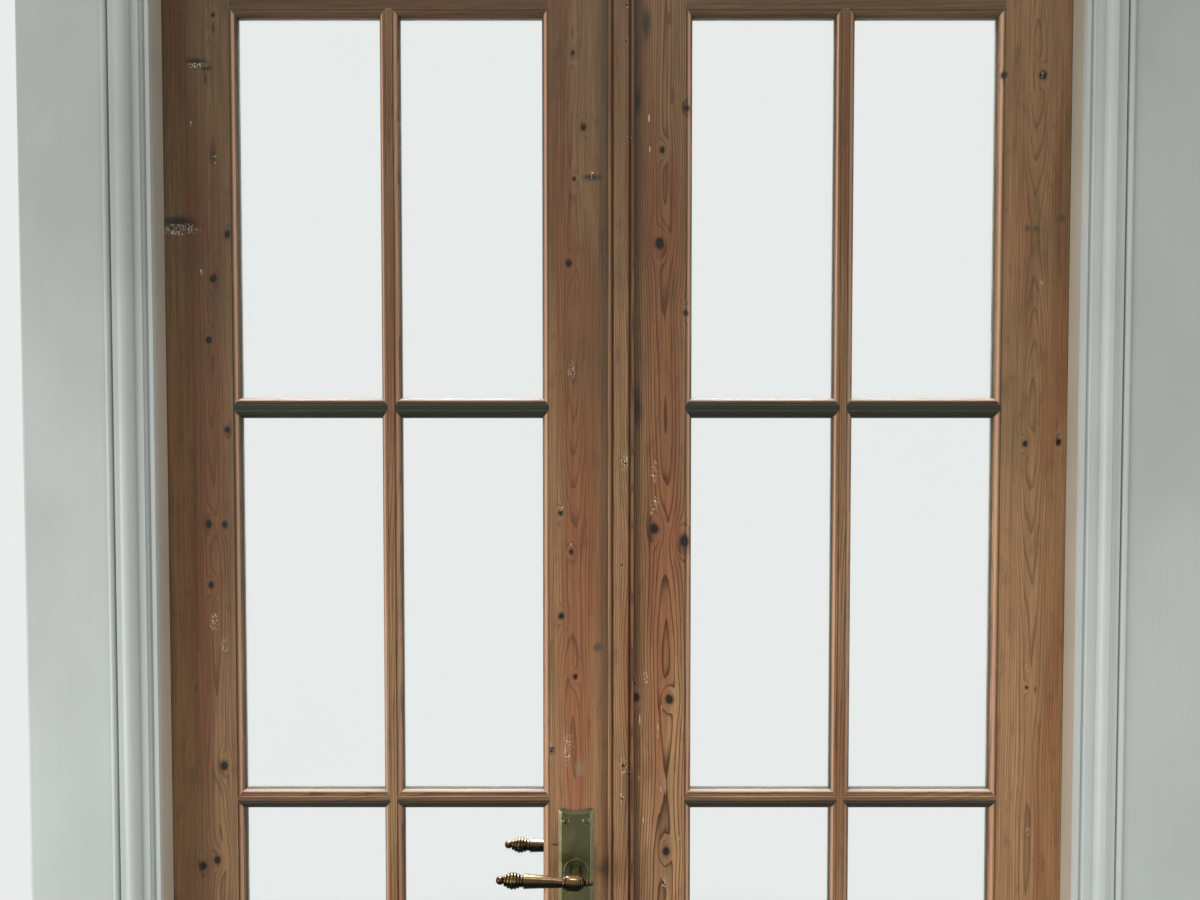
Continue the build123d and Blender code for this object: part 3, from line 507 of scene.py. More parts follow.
def pine(name, upright, middle, pith, lean, marks, smoke_and_shade, soot_and_shade=(), lines=(), tan=0.0, ring=RINGS):
    """Stripped and waxed pine for one board."""
    finish = Finish(name, Coat_Weight=0.04, Coat_Roughness=0.30, Specular_IOR_Level=0.22)
    across, along, depth, place = grain_space(finish, upright, middle)
    ring_width, ring_darkness = ring
    bent, swell = swerve(finish, across, along, marks.get("knot", []))
    saw = rings(finish, bent, along, depth, place, pith, lean, swell, ring_width)
    late = finish.math("MULTIPLY", finish.fade(saw, 0.58, 0.95), finish.fade(saw, 1.0, 0.97))
    fibre = noise(finish, place, FIBRE, detail=3.0, roughness=0.65)
    streak = noise(finish, place, STREAK, detail=2.0, roughness=0.6, shift=pith[0] * 70)
    colour = pine_tones(finish, place, pith, smoke_and_shade, tan)
    colour = mix(finish, finish.math("MULTIPLY", late, ring_darkness), colour, PINE_RING)
    colour = grained(finish, colour, (fibre, 0.80, 1.13), (streak, 0.84, 1.11))
    colour = sooted_and_shaded(finish, colour, across, soot_and_shade)
    colour = lined(finish, dusted_and_highlit(finish, colour), across, lines)
    colour = pine_marks(finish, colour, across, along, place, marks)
    # Painted highlight with the wear: the pine is paler along its arrises.
    worn = finish.math("MULTIPLY", edge_wear_and_highlight(finish, WORN_AND_HIGHLIT_EDGE, 0.88, 0.995), WORN_AND_HIGHLIT_SHARE)
    colour = mix(finish, worn, colour, PINE_WORN_AND_HIGHLIT)
    # Painted shade with the grime: the pine is darker in closed-in corners.
    shade_and_grime = finish.math("MULTIPLY", corner_shade_and_grime(finish, SHADE_AND_GRIME_REACH, 0.25, 0.70), SHADE_AND_GRIME_SHARE)
    colour = mix(finish, shade_and_grime, colour, SMOKE_AND_SHADE)
    finish.feed(finish.shader.inputs["Base Color"], colour)
    rough = finish.math("MULTIPLY_ADD", late, -0.10, finish.fade(fibre, 0.3, 0.7, 0.46, 0.56))
    finish.feed(finish.shader.inputs["Roughness"], rough)
    relief = finish.math("MULTIPLY_ADD", late, 0.5, finish.math("MULTIPLY", fibre, 0.6))
    finish.feed(finish.shader.inputs["Normal"], bump(finish, relief, 0.25 * MM, 0.5))
    return finish.material


print("pine is worn within", WORN_AND_HIGHLIT_EDGE / MM, "mm of its edges")

# %% [markdown]
# ## Where the marks are
# The knots, nail holes and flecks of a real old door are as much its portrait as its outline. Each
# board lists them as across from its own middle, height from the floor and radius, all in
# millimetres. Below the part that was seen, the boards get a few more knots from a seeded draw, at
# the spacing that the upper boards show.

# %% Marks of the four stiles and the astragal
STILE_MARKS = {
    "left_hinge_stile": {
        "knot": [(24, 2231, 2.6), (39, 1951, 4), (20, 1894, 4.5), (13, 1815, 3.6), (36, 1698, 3.6),
                 (10, 1575, 4.2), (31, 1574, 3.8), (12, 1495, 3.6), (26, 1256, 4.6), (-3, 1122, 4.6),
                 (16, 1130, 4.6)],
        "eye": [(22, 2066, 2.6), (-9, 1360, 1.4)],
        "shade": [(22, 2053, 4), (24, 2215, 2), (13, 2150, 2.4)],
        "smear": [(-24, 1966, 27), (2, 2172, 16), (14, 2163, 9)],
        "spatter": [(-22, 1957, 25), (2, 2167, 12)],
        "fleck": [(24, 2049, 3), (-6, 2092, 2), (5, 1903, 2), (15, 1446, 6), (29, 1415, 5)],
    },
    "left_meeting_stile": {
        "knot": [(-7, 2183, 2.6), (7, 2088, 3.6), (-6, 2022, 2.4), (-13, 1914, 4), (-24, 1590, 2.8),
                 (-10, 1539, 2.6), (-23, 1454, 3.4), (-5, 1374, 2.8), (-36, 1277, 2.6)],
        "smear": [(17, 2024, 13), (-32, 1151, 6)],
        "stain": [(25, 1413, 6), (42, 1120, 14)],
        "filler": [(1, 1254, 7)],
        "fleck": [(17, 2027, 2.4), (-9, 1776, 5), (-14, 1286, 6), (-16, 1270, 6), (-36, 1279, 3),
                  (-22, 1594, 2.4), (-10, 1548, 2)],
    },
    "right_meeting_stile": {
        "knot": [(39, 2113, 3.6), (8, 2059, 3.4), (5, 1939, 6), (39, 1850, 2.8), (-1, 1569, 5.5),
                 (38, 1553, 6), (-25, 1347, 4.6), (19, 1345, 4.8), (15, 1142, 4.8)],
        "eye": [(17, 2226, 3.0), (21, 2129, 3.2)],
        "shade": [(-12, 2221, 6.5), (-24, 2123, 5.5), (-25, 1727, 8), (39, 1545, 4.5)],
        "fleck": [(0, 1655, 2), (-1, 1641, 5), (-1, 1601, 5), (-4, 1588, 2), (-12, 1373, 4),
                  (32, 1157, 3), (12, 1100, 4)],
        "scratch": [(-20, 1317, 1.0), (4, 1307, 0.6), (4, 1295, 0.4), (-21, 1240, 0.5),
                    (-15, 1184, 0.6), (9, 1333, 0.5), (8, 1225, 0.4), (-9, 2100, 0.7), (-8, 2060, 0.5)],
    },
    "right_hinge_stile": {
        "knot": [(5, 2155, 4.5), (-45, 2155, 3.5), (-12, 1680, 3.4), (32, 1682, 3.4), (-5, 1360, 1.8)],
        "stain": [(-12, 1958, 5), (-1, 1958, 4.5), (31, 1972, 6)],
        "eye": [(6, 1357, 1.2)],
        "fleck": [(5, 2155, 2.5), (-4, 1384, 2), (7, 1889, 2), (-14, 1237, 3), (-1, 1170, 4)],
    },
}
ASTRAGAL_MARKS = {
    "hole": [(7, 2239, 2), (6, 2194, 2), (10, 2072, 2), (5, 1656, 3.4), (1, 1522, 2), (3, 1259, 3),
             (11, 1247, 2.4), (2, 1216, 2.2)],
    "fleck": [(5, 1656, 5), (3, 1259, 5), (2, 1216, 4)],
}
SEEN_DOWN_TO = 1080
LEAF_FOOT = 60
FIRST_GAP = (20, 90)
KNOT_GAP = (110, 260)
KNOT_RADIUS = (3.0, 5.5)
draw = random.Random(31)


def with_lower_knots(marks, half_width):
    """The listed marks and a few knots below them."""
    height = SEEN_DOWN_TO - draw.uniform(*FIRST_GAP)
    knots = list(marks.get("knot", []))
    while height > LEAF_FOOT:
        knots.append((draw.uniform(-half_width, half_width), height, draw.uniform(*KNOT_RADIUS)))
        height -= draw.uniform(*KNOT_GAP)
    return {**marks, "knot": knots}


for name, marks in STILE_MARKS.items():
    print(name, {kind: len(places) for kind, places in marks.items()})

# %% [markdown]
# ## Dressing the boards
# Each board came from its own tree, so each gets its own pith. The right meeting stile was cut
# close to the pith and shows tall arches, the others are calmer. The finish goes onto the material
# slot of the board that is already there, because its shape is right as it stands. Each stile lists
# its pith, the lean of its grain, its smoke and painted shade low down and high up, its soot and
# painted shade beside the joints, how much tan it has, the side of its glass, and the width and
# darkness of its rings.

# %% A finish for each board
def dress(node, material):
    """Give a loaded piece its finish."""
    slots = nodes[node].data.materials
    slots.clear()
    slots.append(material)


def middle_of(node, axis):
    low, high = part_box(node)
    return (low[axis] + high[axis]) / 2


OVOLO = 9.0
KNOT_FREE_EDGE = 12
STILES = {
    "left_hinge_stile": ((0.018, 0.040), 0.004, (0.36, 0.76), [(-36, -52, 0.50)], 0.04, 1, (2.2, 0.62)),
    "left_meeting_stile": ((-0.007, 0.042), 0.003, (0.06, 0.72), [(14, 44, 0.56)], 0.0, -1, (2.2, 0.55)),
    "right_meeting_stile": ((0.012, 0.040), 0.004, (0.0, 0.68), [(-12, -30, 0.60)], 0.04, 1, (2.9, 0.98)),
    "right_hinge_stile": ((-0.002, 0.050), 0.006, (0.0, 0.50), [(42, 53, 0.40)], 0.10, -1, (2.3, 0.50)),
}


def sight_shadow_and_highlight(half, glass_side):
    """A dark line in the quirk, a painted shadow line beside the glass, and a painted highlight on the
    crest of the moulding between them.
    """
    # Painted shadow along the glass and painted highlight on the crest; the quirk line is a plain dark
    # line.
    return [(glass_side * (half - OVOLO + 0.3), 0.9, SOOT_AND_SHADE, 0.70),
            (glass_side * (half - 4.6), 2.2, CREST_HIGHLIGHT, 0.46),
            (glass_side * half, 1.5, SOOT_AND_SHADE, 0.85)]


for stile, (pith, lean, smoke_and_shade, soot_and_shade, tan, glass_side, ring) in STILES.items():
    low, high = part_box(stile)
    half = (high.x - low.x) / 2 / MM
    marks = with_lower_knots(STILE_MARKS[stile], half - KNOT_FREE_EDGE)
    dress(stile, pine(stile + "_pine", True, middle_of(stile, 0), pith, lean, marks, smoke_and_shade, soot_and_shade,
                      sight_shadow_and_highlight(half, glass_side), tan, ring))
print("dressed", len(STILES), "stiles")

# %% [markdown]
# Bars and rails are narrow and nobody wipes them, so their darkening and lines say more than their
# rings. The darkening is smoke and soot with painted shade: each cross bar is darker below its middle
# and the upper bars darker still, where light falls less. Each lists its smoke and shade low down and
# high up, its soot and shade, and its lines: dark quirk lines, painted shadow along the glass and
# painted highlights on the crests. The strip over the joint is fixed with nails, and their filled
# holes run down its middle.

# %% Bars, rails and the astragal
# Painted shadow along the top glass edge of a cross bar, and a dark line in its quirk.
TOP_QUIRK_AND_SHADOW_LINES = [(8.0, 0.9, SOOT_AND_SHADE, 0.80), (13.2, 1.4, SOOT_AND_SHADE, 0.90)]
# The soot of the cross bars is painted shade with some soot: it darkens each below its middle, and the
# upper bar almost whole.
BARS = {
    "top_rail": ((0.60, 0.80), [], []),
    "bottom_rail": ((0.12, 0.60), [], []),
    "cross_bar_1": ((0.16, 0.60), [(1.0, -3.5, 0.85)], TOP_QUIRK_AND_SHADOW_LINES),
    "cross_bar_2": ((0.42, 0.66), [(1.0, -3.0, 0.92)], TOP_QUIRK_AND_SHADOW_LINES),
    "cross_bar_3": ((0.34, 0.76), [(8.4, 6.0, 0.94), (1.5, -3.0, 0.70)], TOP_QUIRK_AND_SHADOW_LINES),
}
BAR_SMOKE_AND_SHADE = (0.22, 0.62)
PITH_DEPTH = (0.05, 0.09)
KNOTS_ON_A_RAIL = 3
BAR_HALF = 13.0
NOSING_HALF = 4.0
# Dark quirk lines, painted shadow along both glass edges and painted highlights on the crests.
bar_shadow_and_highlight_lines = [(side * (NOSING_HALF + 0.5), 0.8, SOOT_AND_SHADE, 0.62) for side in (-1, 1)]
bar_shadow_and_highlight_lines += [(side * BAR_HALF, 1.6, SOOT_AND_SHADE, 0.90) for side in (-1, 1)]
bar_shadow_and_highlight_lines += [(-9.6, 1.5, CREST_HIGHLIGHT, 0.50), (8.0, 2.6, CREST_HIGHLIGHT, 0.30)]
for side in ("left", "right"):
    bar = f"{side}_upright_bar"
    pith = (draw.uniform(-0.05, 0.05), draw.uniform(*PITH_DEPTH))
    dress(bar, pine(bar + "_pine", True, middle_of(bar, 0), pith, 0.01, {}, BAR_SMOKE_AND_SHADE, (), bar_shadow_and_highlight_lines))
    for board, (smoke_and_shade, soot_and_shade, lines) in BARS.items():
        name = f"{side}_{board}"
        pith = (draw.uniform(-0.06, 0.06), draw.uniform(*PITH_DEPTH))
        centre = middle_of(name, 0) / MM
        knots = [(draw.uniform(-30, 30), centre + draw.uniform(-190, 190), draw.uniform(3, 5))
                 for _ in range(KNOTS_ON_A_RAIL if "rail" in board else 0)]
        level = middle_of(name, 2)
        dress(name, pine(name + "_pine", False, level, pith, 0.02, {"knot": knots}, smoke_and_shade, soot_and_shade, lines))
strip = pine("astragal_pine", True, middle_of("astragal", 0), (0.012, 0.03), 0.006, ASTRAGAL_MARKS,
             (0.06, 0.70), ring=(2.0, 0.85))
dress("astragal", strip)
print("dressed bars, rails and the astragal:", len(bpy.data.materials), "materials so far")

# %% [markdown]
# ## Old paint on the frame and casing
# The casing has a century of brush coats: a grey-green white, not quite even, with brush lines along
# the wood and grime with painted shade where the mouldings meet. It is greyer high up, for smoke and
# as painted shade of light that falls off upwards, and the right moulding is painted paler than the
# rest as painted light, for light that falls on it from the left. Grime could be painted by hand. A
# node that feels how closed a spot is does it for us, because dust settles exactly in such corners,
# and shade falls there too.

# %% Paint finish
def paint(name, upright, clean, worn):
    """Brushed oil paint with lines along the board."""
    finish = Finish(name, IOR=1.48)
    across, along, depth, place = grain_space(finish, upright, 0.0)
    brush = noise(finish, place, (0.0022, 0.35, 0.0022), detail=3.0, roughness=0.6)
    cloud = noise(finish, place, (0.16, 0.30, 0.16), detail=4.0)
    speck = noise(finish, place, (0.004, 0.006, 0.004), detail=2.0)
    colour = mix(finish, finish.fade(cloud, 0.35, 0.70), clean, worn)
    colour = mix(finish, finish.math("MULTIPLY", finish.fade(brush, 0.60, 0.30), 0.22), colour, worn)
    colour = mix(finish, finish.fade(speck, 0.76, 0.82, 0.0, 0.5), colour, PAINT_SPECK)
    height = height_above_floor(finish)
    # Painted shade: the paint is greyer towards the top, for light that falls off upwards, as well as for
    # smoke.
    colour = mix(finish, finish.fade(height, GREY_FROM, GREY_FULL, 0.0, GREY_SHARE), colour, PAINT_GRIME_AND_SHADE)
    # Painted shade with the grime: darker in closed-in corners.
    shade_and_grime = finish.math("MULTIPLY", corner_shade_and_grime(finish, 0.004, 0.20, 0.65), 0.10)
    colour = mix(finish, shade_and_grime, colour, PAINT_GRIME_AND_SHADE)
    finish.feed(finish.shader.inputs["Base Color"], colour)
    finish.feed(finish.shader.inputs["Roughness"], finish.fade(brush, 0.3, 0.7, 0.36, 0.48))
    lumps = finish.math("MULTIPLY_ADD", speck, 0.4, brush)
    finish.feed(finish.shader.inputs["Normal"], bump(finish, lumps, 0.12 * MM, 0.5))
    return finish.material


GREY_FROM = 0.9
GREY_FULL = 2.4
GREY_SHARE = 0.50
PAINT_SPECK = rgb(134, 131, 120)
# Grey tone for grime and painted shade.
PAINT_GRIME_AND_SHADE = rgb(110, 112, 100)
CASING_TONES = (rgb(197, 203, 200), rgb(184, 190, 186))
# Painted light: the right moulding gets paler tones, for light that falls on it from the left.
PAINTED_LIGHT_MOULDING_TONES = (rgb(212, 218, 216), rgb(201, 207, 204))
# Painted light: the jamb tones are warm and light, for warm light bounced off the wood and to lift the
# jamb out of its shade.
WARM_BOUNCE_JAMB_TONES = (rgb(200, 190, 172), rgb(184, 174, 156))
upright_paint = paint("casing_paint_upright", True, *CASING_TONES)
painted_light_moulding_paint = paint("casing_paint_painted_light", True, *PAINTED_LIGHT_MOULDING_TONES)
level_paint = paint("casing_paint_level", False, *CASING_TONES)
jamb_paint = paint("jamb_paint_warm_bounce_upright", True, *WARM_BOUNCE_JAMB_TONES)
head_paint = paint("jamb_paint_warm_bounce_level", False, *WARM_BOUNCE_JAMB_TONES)
for side in ("left", "right"):
    dress(f"{side}_casing", upright_paint)
    dress(f"{side}_moulding", upright_paint if side == "left" else painted_light_moulding_paint)
    dress(f"{side}_jamb", jamb_paint)
dress("head_casing", level_paint)
dress("head_moulding", level_paint)
dress("head_jamb", head_paint)
print("painted 9 pieces in three tones")

# %% [markdown]
# ## The oak threshold
# A threshold is the one piece that is walked on and rained on, so it is oak and greyer than the
# doors. Oak has fine rings and short dark pores. We reuse the grain directions, stretch a noise
# into pores and wear the top surface paler, where shoes pass.

# %% Oak finish
def oak(name):
    """Walked-on oak with open pores."""
    finish = Finish(name, IOR=1.5)
    across, along, depth, place = grain_space(finish, False, 0.0)
    rings_seen = noise(finish, place, (0.010, 0.9, 0.010), detail=4.0, roughness=0.6)
    pores = noise(finish, place, (0.0009, 0.018, 0.0009), detail=2.0, roughness=0.6)
    wear = noise(finish, place, (0.10, 0.16, 0.10), detail=3.0)
    colour = mix(finish, finish.fade(rings_seen, 0.3, 0.7), OAK_LIGHT, OAK_DARK)
    colour = mix(finish, finish.fade(wear, 0.45, 0.70, 0.0, 0.6), colour, OAK_GREY)
    colour = mix(finish, finish.fade(pores, 0.58, 0.68, 0.0, 0.7), colour, OAK_PORE)
    finish.feed(finish.shader.inputs["Base Color"], colour)
    finish.feed(finish.shader.inputs["Roughness"], finish.fade(wear, 0.3, 0.7, 0.55, 0.72))
    finish.feed(finish.shader.inputs["Normal"], bump(finish, pores, -0.3 * MM, 0.6))
    return finish.material


OAK_LIGHT = rgb(150, 124, 94)
OAK_DARK = rgb(118, 92, 66)
OAK_GREY = rgb(140, 130, 116)
OAK_PORE = rgb(66, 50, 38)
dress("threshold", oak("threshold_oak"))
print("threshold in oak")

# %% [markdown]
# ## Tarnished brass
# Old brass goes olive brown where it is left alone and stays bright where hands and cloths rub it:
# on edges, beads and high spots. On the lever the colour also holds painted light: its underside is
# painted nearly black, for tarnish and as painted shade and reflection, and its top is painted pale,
# for rubbing and as a painted highlight. Corners and edges are felt as before, and the way that a
# spot faces tells the underside. The bolts and the inside of the lock are steel, which goes brown in
# its corners.

# %% Brass finish
# Pale tone for rubbed brass and for the painted highlight on top of the lever.
RUBBED_AND_HIGHLIT_BRASS = rgb(222, 206, 166)
RUBBED_STEEL = rgb(196, 194, 188)


def aged_metal(name, bright, dull, dark, polish, tarnish, rubbed=0.8, handled=False,
               worn=RUBBED_AND_HIGHLIT_BRASS):
    """Metal that is dull with age in patches, dark in corners, bright on edges, and on a lever painted
    dark below and pale on top, as painted shade and highlight.
    """
    finish = Finish(name, Metallic=1.0)
    place = own_place(finish)
    cloud = noise(finish, place, (0.022, 0.022, 0.030), detail=5.0, roughness=0.6)
    scratch = noise(finish, place, (0.0008, 0.0030, 0.014), detail=3.0, roughness=0.7)
    pit = noise(finish, place, (0.0011, 0.0011, 0.0011), detail=2.0)
    colour = mix(finish, finish.fade(cloud, tarnish - 0.16, tarnish + 0.18), dull, bright)
    colour = mix(finish, finish.fade(scratch, 0.55, 0.72, 0.0, 0.35), colour, bright)
    colour = mix(finish, corner_shade_and_grime(finish, 0.004, 0.30, 0.85), colour, dark)
    # Painted light on the lever: nearly black below, as painted shade and reflection along with tarnish,
    # and pale on top, as a painted highlight along with rubbing.
    if handled:
        up = facing_up(finish)
        colour = mix(finish, finish.fade(up, 0.34, -0.02, 0.0, 0.95), colour, dark)
        colour = mix(finish, finish.fade(up, 0.70, 0.94, 0.0, 0.75), colour, worn)
    edges = edge_wear_and_highlight(finish, 0.7 * MM, 0.84, 0.985)
    colour = mix(finish, finish.math("MULTIPLY", edges, rubbed), colour, worn)
    finish.feed(finish.shader.inputs["Base Color"], colour)
    dullness = finish.fade(cloud, 0.3, 0.7, polish + 0.16, polish)
    rough = finish.math("MULTIPLY_ADD", edges, -0.12, dullness)
    finish.feed(finish.shader.inputs["Roughness"], rough)
    relief = finish.math("MULTIPLY_ADD", scratch, 0.5, pit)
    finish.feed(finish.shader.inputs["Normal"], bump(finish, relief, 0.05 * MM, 0.22))
    return finish.material


brass = aged_metal("aged_brass", rgb(108, 102, 70), rgb(86, 85, 60), rgb(34, 35, 24), 0.26, 0.58)
lever_brass = aged_metal("handled_and_lit_brass", rgb(120, 94, 60), rgb(80, 64, 44), rgb(16, 27, 24), 0.13, 0.52,
                         rubbed=0.20, handled=True)
screw_brass = aged_metal("dark_screw_brass", rgb(150, 132, 84), rgb(70, 64, 42), rgb(26, 25, 18), 0.20,
                         0.60)
steel = aged_metal("old_steel", rgb(150, 148, 142), rgb(104, 100, 95), rgb(58, 48, 40), 0.30, 0.45,
                   worn=RUBBED_STEEL)
BRASS_WORDS = ("hinge_", "plate", "bolt", "lock")
STEEL_PIECES = ("lock_case", "latch_bolt", "dead_bolt", "flush_bolt_top", "flush_bolt_bottom",
                "spindle", "follower")
for node in nodes:
    if node in STEEL_PIECES:
        dress(node, steel)
    elif "lever" in node:
        dress(node, lever_brass)
    elif "stile" not in node and any(word in node for word in BRASS_WORDS):
        dress(node, brass)
print("metals:", brass.name, lever_brass.name, screw_brass.name, steel.name)

# %% [markdown]
# ## Panes and putty
# Old window glass is clear with a faint green edge and a slow wave that bends reflections. The wave
# is a very shallow bump over a few centimetres. The panes let the lamps through, as thin
# glass does, so they cast no shadow of their own.

# %% Glass and putty
def window_glass(name):
    """Clear panes with a slow wave."""
    finish = Finish(name, Transmission_Weight=1.0, IOR=1.48, Roughness=0.0)
    place = own_place(finish)
    tint = noise(finish, place, (0.30, 0.30, 0.30), detail=1.0)
    colour = mix(finish, tint, rgb(253, 254, 254), rgb(250, 253, 252))
    finish.feed(finish.shader.inputs["Base Color"], colour)
    wave = noise(finish, place, (0.055, 0.055, 0.13), detail=1.0)
    finish.feed(finish.shader.inputs["Normal"], bump(finish, wave, 0.2 * MM, 0.08))
    return finish.material


def old_putty(name):
    """Dry putty, yellowed in clouds and finely cracked."""
    finish = Finish(name, IOR=1.45)
    place = own_place(finish)
    cloud = noise(finish, place, (0.03, 0.03, 0.05), detail=4.0)
    crack = noise(finish, place, (0.0015, 0.0015, 0.004), detail=3.0, roughness=0.7)
    colour = mix(finish, finish.fade(cloud, 0.35, 0.7), rgb(186, 180, 164), rgb(160, 150, 130))
    colour = mix(finish, finish.fade(crack, 0.62, 0.72, 0.0, 0.6), colour, rgb(96, 84, 68))
    finish.feed(finish.shader.inputs["Base Color"], colour)
    finish.feed(finish.shader.inputs["Roughness"], finish.fade(cloud, 0.3, 0.7, 0.55, 0.7))
    finish.feed(finish.shader.inputs["Normal"], bump(finish, crack, -0.3 * MM, 0.5))
    return finish.material


glass = window_glass("window_glass")
putty = old_putty("old_putty")
for side in ("left", "right"):
    dress(f"{side}_panes", glass)
    dress(f"{side}_putty", putty)
    nodes[f"{side}_panes"].visible_shadow = False
print("glazed 16 panes")

# %% [markdown]
# ## Screws
# Slotted screws hold every plate of such a door. A screw head could be a disc with a painted line,
# but the line would stay flat when light grazes it. So we turn a low dome from a profile, cut the
# slot with a real block and keep the result as a mesh. Each slot stops at its own angle, as
# screws do.

# %% One slotted head
SLOT_SHARE = 0.22
HEAD_STEPS = 28


def head_profile(radius, dome, seat):
    """Points of a low domed head from its crown to its hidden seat."""
    crown = [(radius * share, dome * (1 - share ** 2)) for share in (0.0, 0.35, 0.6, 0.8, 0.93)]
    return crown + [(radius, 0.0), (radius * 0.96, -seat), (0.0, -seat)]


def turned_head(radius, dome, seat):
    """A head as a closed mesh, turned about Z."""
    shape = bmesh.new()
    corners = [shape.verts.new((x, 0, z)) for x, z in head_profile(radius, dome, seat)]
    edges = [shape.edges.new(pair) for pair in zip(corners, corners[1:])]
    bmesh.ops.spin(shape, geom=corners + edges, cent=(0, 0, 0), axis=(0, 0, 1),
                   angle=2 * pi, steps=HEAD_STEPS, use_duplicate=False)
    bmesh.ops.remove_doubles(shape, verts=shape.verts, dist=1e-6)
    bmesh.ops.recalc_face_normals(shape, faces=shape.faces)
    mesh = bpy.data.meshes.new("turned_head")
    shape.to_mesh(mesh)
    shape.free()
    return bpy.data.objects.new("turned_head", mesh)


def slot_block(radius, dome):
    """The block that cuts the slot."""
    shape = bmesh.new()
    size = (radius * 2.4, radius * 2 * SLOT_SHARE, dome + 0.6 * MM)
    bmesh.ops.create_cube(shape, size=1.0)
    bmesh.ops.scale(shape, vec=size, verts=shape.verts)
    bmesh.ops.translate(shape, vec=(0, 0, dome / 2), verts=shape.verts)
    mesh = bpy.data.meshes.new("slot_block")
    shape.to_mesh(mesh)
    shape.free()
    return bpy.data.objects.new("slot_block", mesh)


def slotted_head(radius, dome, seat):
    """Mesh of a head with its slot cut out."""
    head, block = turned_head(radius, dome, seat), slot_block(radius, dome)
    for piece in (head, block):
        bpy.context.scene.collection.objects.link(piece)
    cut = head.modifiers.new("slot", "BOOLEAN")
    cut.operation = "DIFFERENCE"
    cut.solver = "EXACT"
    cut.object = block
    bpy.context.view_layer.update()
    mesh = bpy.data.meshes.new_from_object(head.evaluated_get(bpy.context.evaluated_depsgraph_get()))
    for piece in (head, block):
        bpy.data.objects.remove(piece)
    return mesh


PLATE_HEAD = {"radius": 4.2 * MM, "dome": 1.1 * MM, "seat": 1.2 * MM}
SMALL_HEAD = {"radius": 3.4 * MM, "dome": 0.35 * MM, "seat": 0.3 * MM}
plate_head = slotted_head(**PLATE_HEAD)
small_head = slotted_head(**SMALL_HEAD)
print("one head has", len(plate_head.polygons), "faces")

# %% [markdown]
# ## A row of screws as one piece
# A piece rides on one body, and every screw of a row is fixed to the same wood. So each row is
# joined into one object: fewer pieces to keep track of, and they can never drift apart.

# %% Driving screws
def drive(name, head, places, facing, body, material):
    """Screws at some places, all facing one way, as one piece that rides on a body."""
    shape = bmesh.new()
    lay = Vector((0, 0, 1)).rotation_difference(Vector(facing)).to_matrix().to_4x4()
    for place in places:
        turn = Matrix.Rotation(draw.uniform(0, pi), 4, "Z")
        one = head.copy()
        one.transform(Matrix.Translation(Vector(place)) @ lay @ turn)
        shape.from_mesh(one)
        bpy.data.meshes.remove(one)
    mesh = bpy.data.meshes.new(name)
    shape.to_mesh(mesh)
    shape.free()
    mesh.materials.append(material)
    piece = bpy.data.objects.new(name, mesh)
    bpy.context.scene.collection.objects.link(piece)
    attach(piece, body)
    return piece


FLAP_SCREWS = ((-38, -20), (-14, -9), (14, -20), (38, -9))
leaf_face_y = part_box("left_hinge_stile")[1].y
leaf_edge = abs(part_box("left_hinge_stile")[0].x)
hinge_line = abs(joints["left_leaf_hinge"]["pos_m"][0])
rebate = 2 * hinge_line - leaf_edge
for side, sign in (("left", -1), ("right", 1)):
    for number in (1, 2, 3):
        level = middle_of(f"{side}_hinge_{number}_frame_half", 2)
        for half, face, way, body in (("frame", rebate, -sign, "frame"),
                                      ("leaf", leaf_edge, sign, f"{side}_leaf")):
            places = [(sign * face, leaf_face_y + deep * MM, level + up * MM) for up, deep in FLAP_SCREWS]
            drive(f"{side}_hinge_{number}_{half}_screws", small_head, places, (way, 0, 0), body,
                  brass)
flap_gap = round((rebate - leaf_edge) / MM, 2)
print("hinge screws:", 12 * len(FLAP_SCREWS), "on flaps", flap_gap, "mm apart")

# %% [markdown]
# Every other plate has one screw near each end. The places come from the boxes of the plates, so the
# screws stay right when a plate is moved.

# %% Screws of the lock, strike, flush bolts and keeps
END_INSET = 9 * MM
FLUSH_PLATE = 160 * MM
KEEP_SCREW = 16 * MM
KEEP_THICKNESS = 1.5 * MM
leaf_middle_y = middle_of("left_hinge_stile", 1)
low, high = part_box("lock_faceplate")
ends = [(high.x, leaf_middle_y, level) for level in (low.z + END_INSET, high.z - END_INSET)]
drive("faceplate_screws", small_head, ends, (1, 0, 0), "left_leaf", brass)
low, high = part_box("strike_plate")
ends = [(low.x, leaf_middle_y, level) for level in (low.z + END_INSET, high.z - END_INSET)]
drive("strike_screws", small_head, ends, (-1, 0, 0), "right_leaf", brass)
low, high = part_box("flush_bolt_plates")
levels = [low.z + END_INSET, low.z + FLUSH_PLATE - END_INSET,
          high.z - FLUSH_PLATE + END_INSET, high.z - END_INSET]
ends = [(low.x, leaf_middle_y, level) for level in levels]
drive("flush_plate_screws", small_head, ends, (-1, 0, 0), "right_leaf", brass)
low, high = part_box("bolt_keeps")
for name, level, way in (("lower", low.z, 1), ("upper", high.z, -1)):
    face = level + way * KEEP_THICKNESS
    middle = middle_of("bolt_keeps", 0)
    ends = [(middle + across, leaf_middle_y, face) for across in (-KEEP_SCREW, KEEP_SCREW)]
    drive(f"{name}_keep_screws", small_head, ends, (0, 0, way), "frame", brass)
print("screws of the plates driven")

# %% [markdown]
# The backplates are what the eye goes to, so their screws are replaced by slotted ones with a
# proper dome. They sit in the same sunk holes as the plain solids that they stand for.

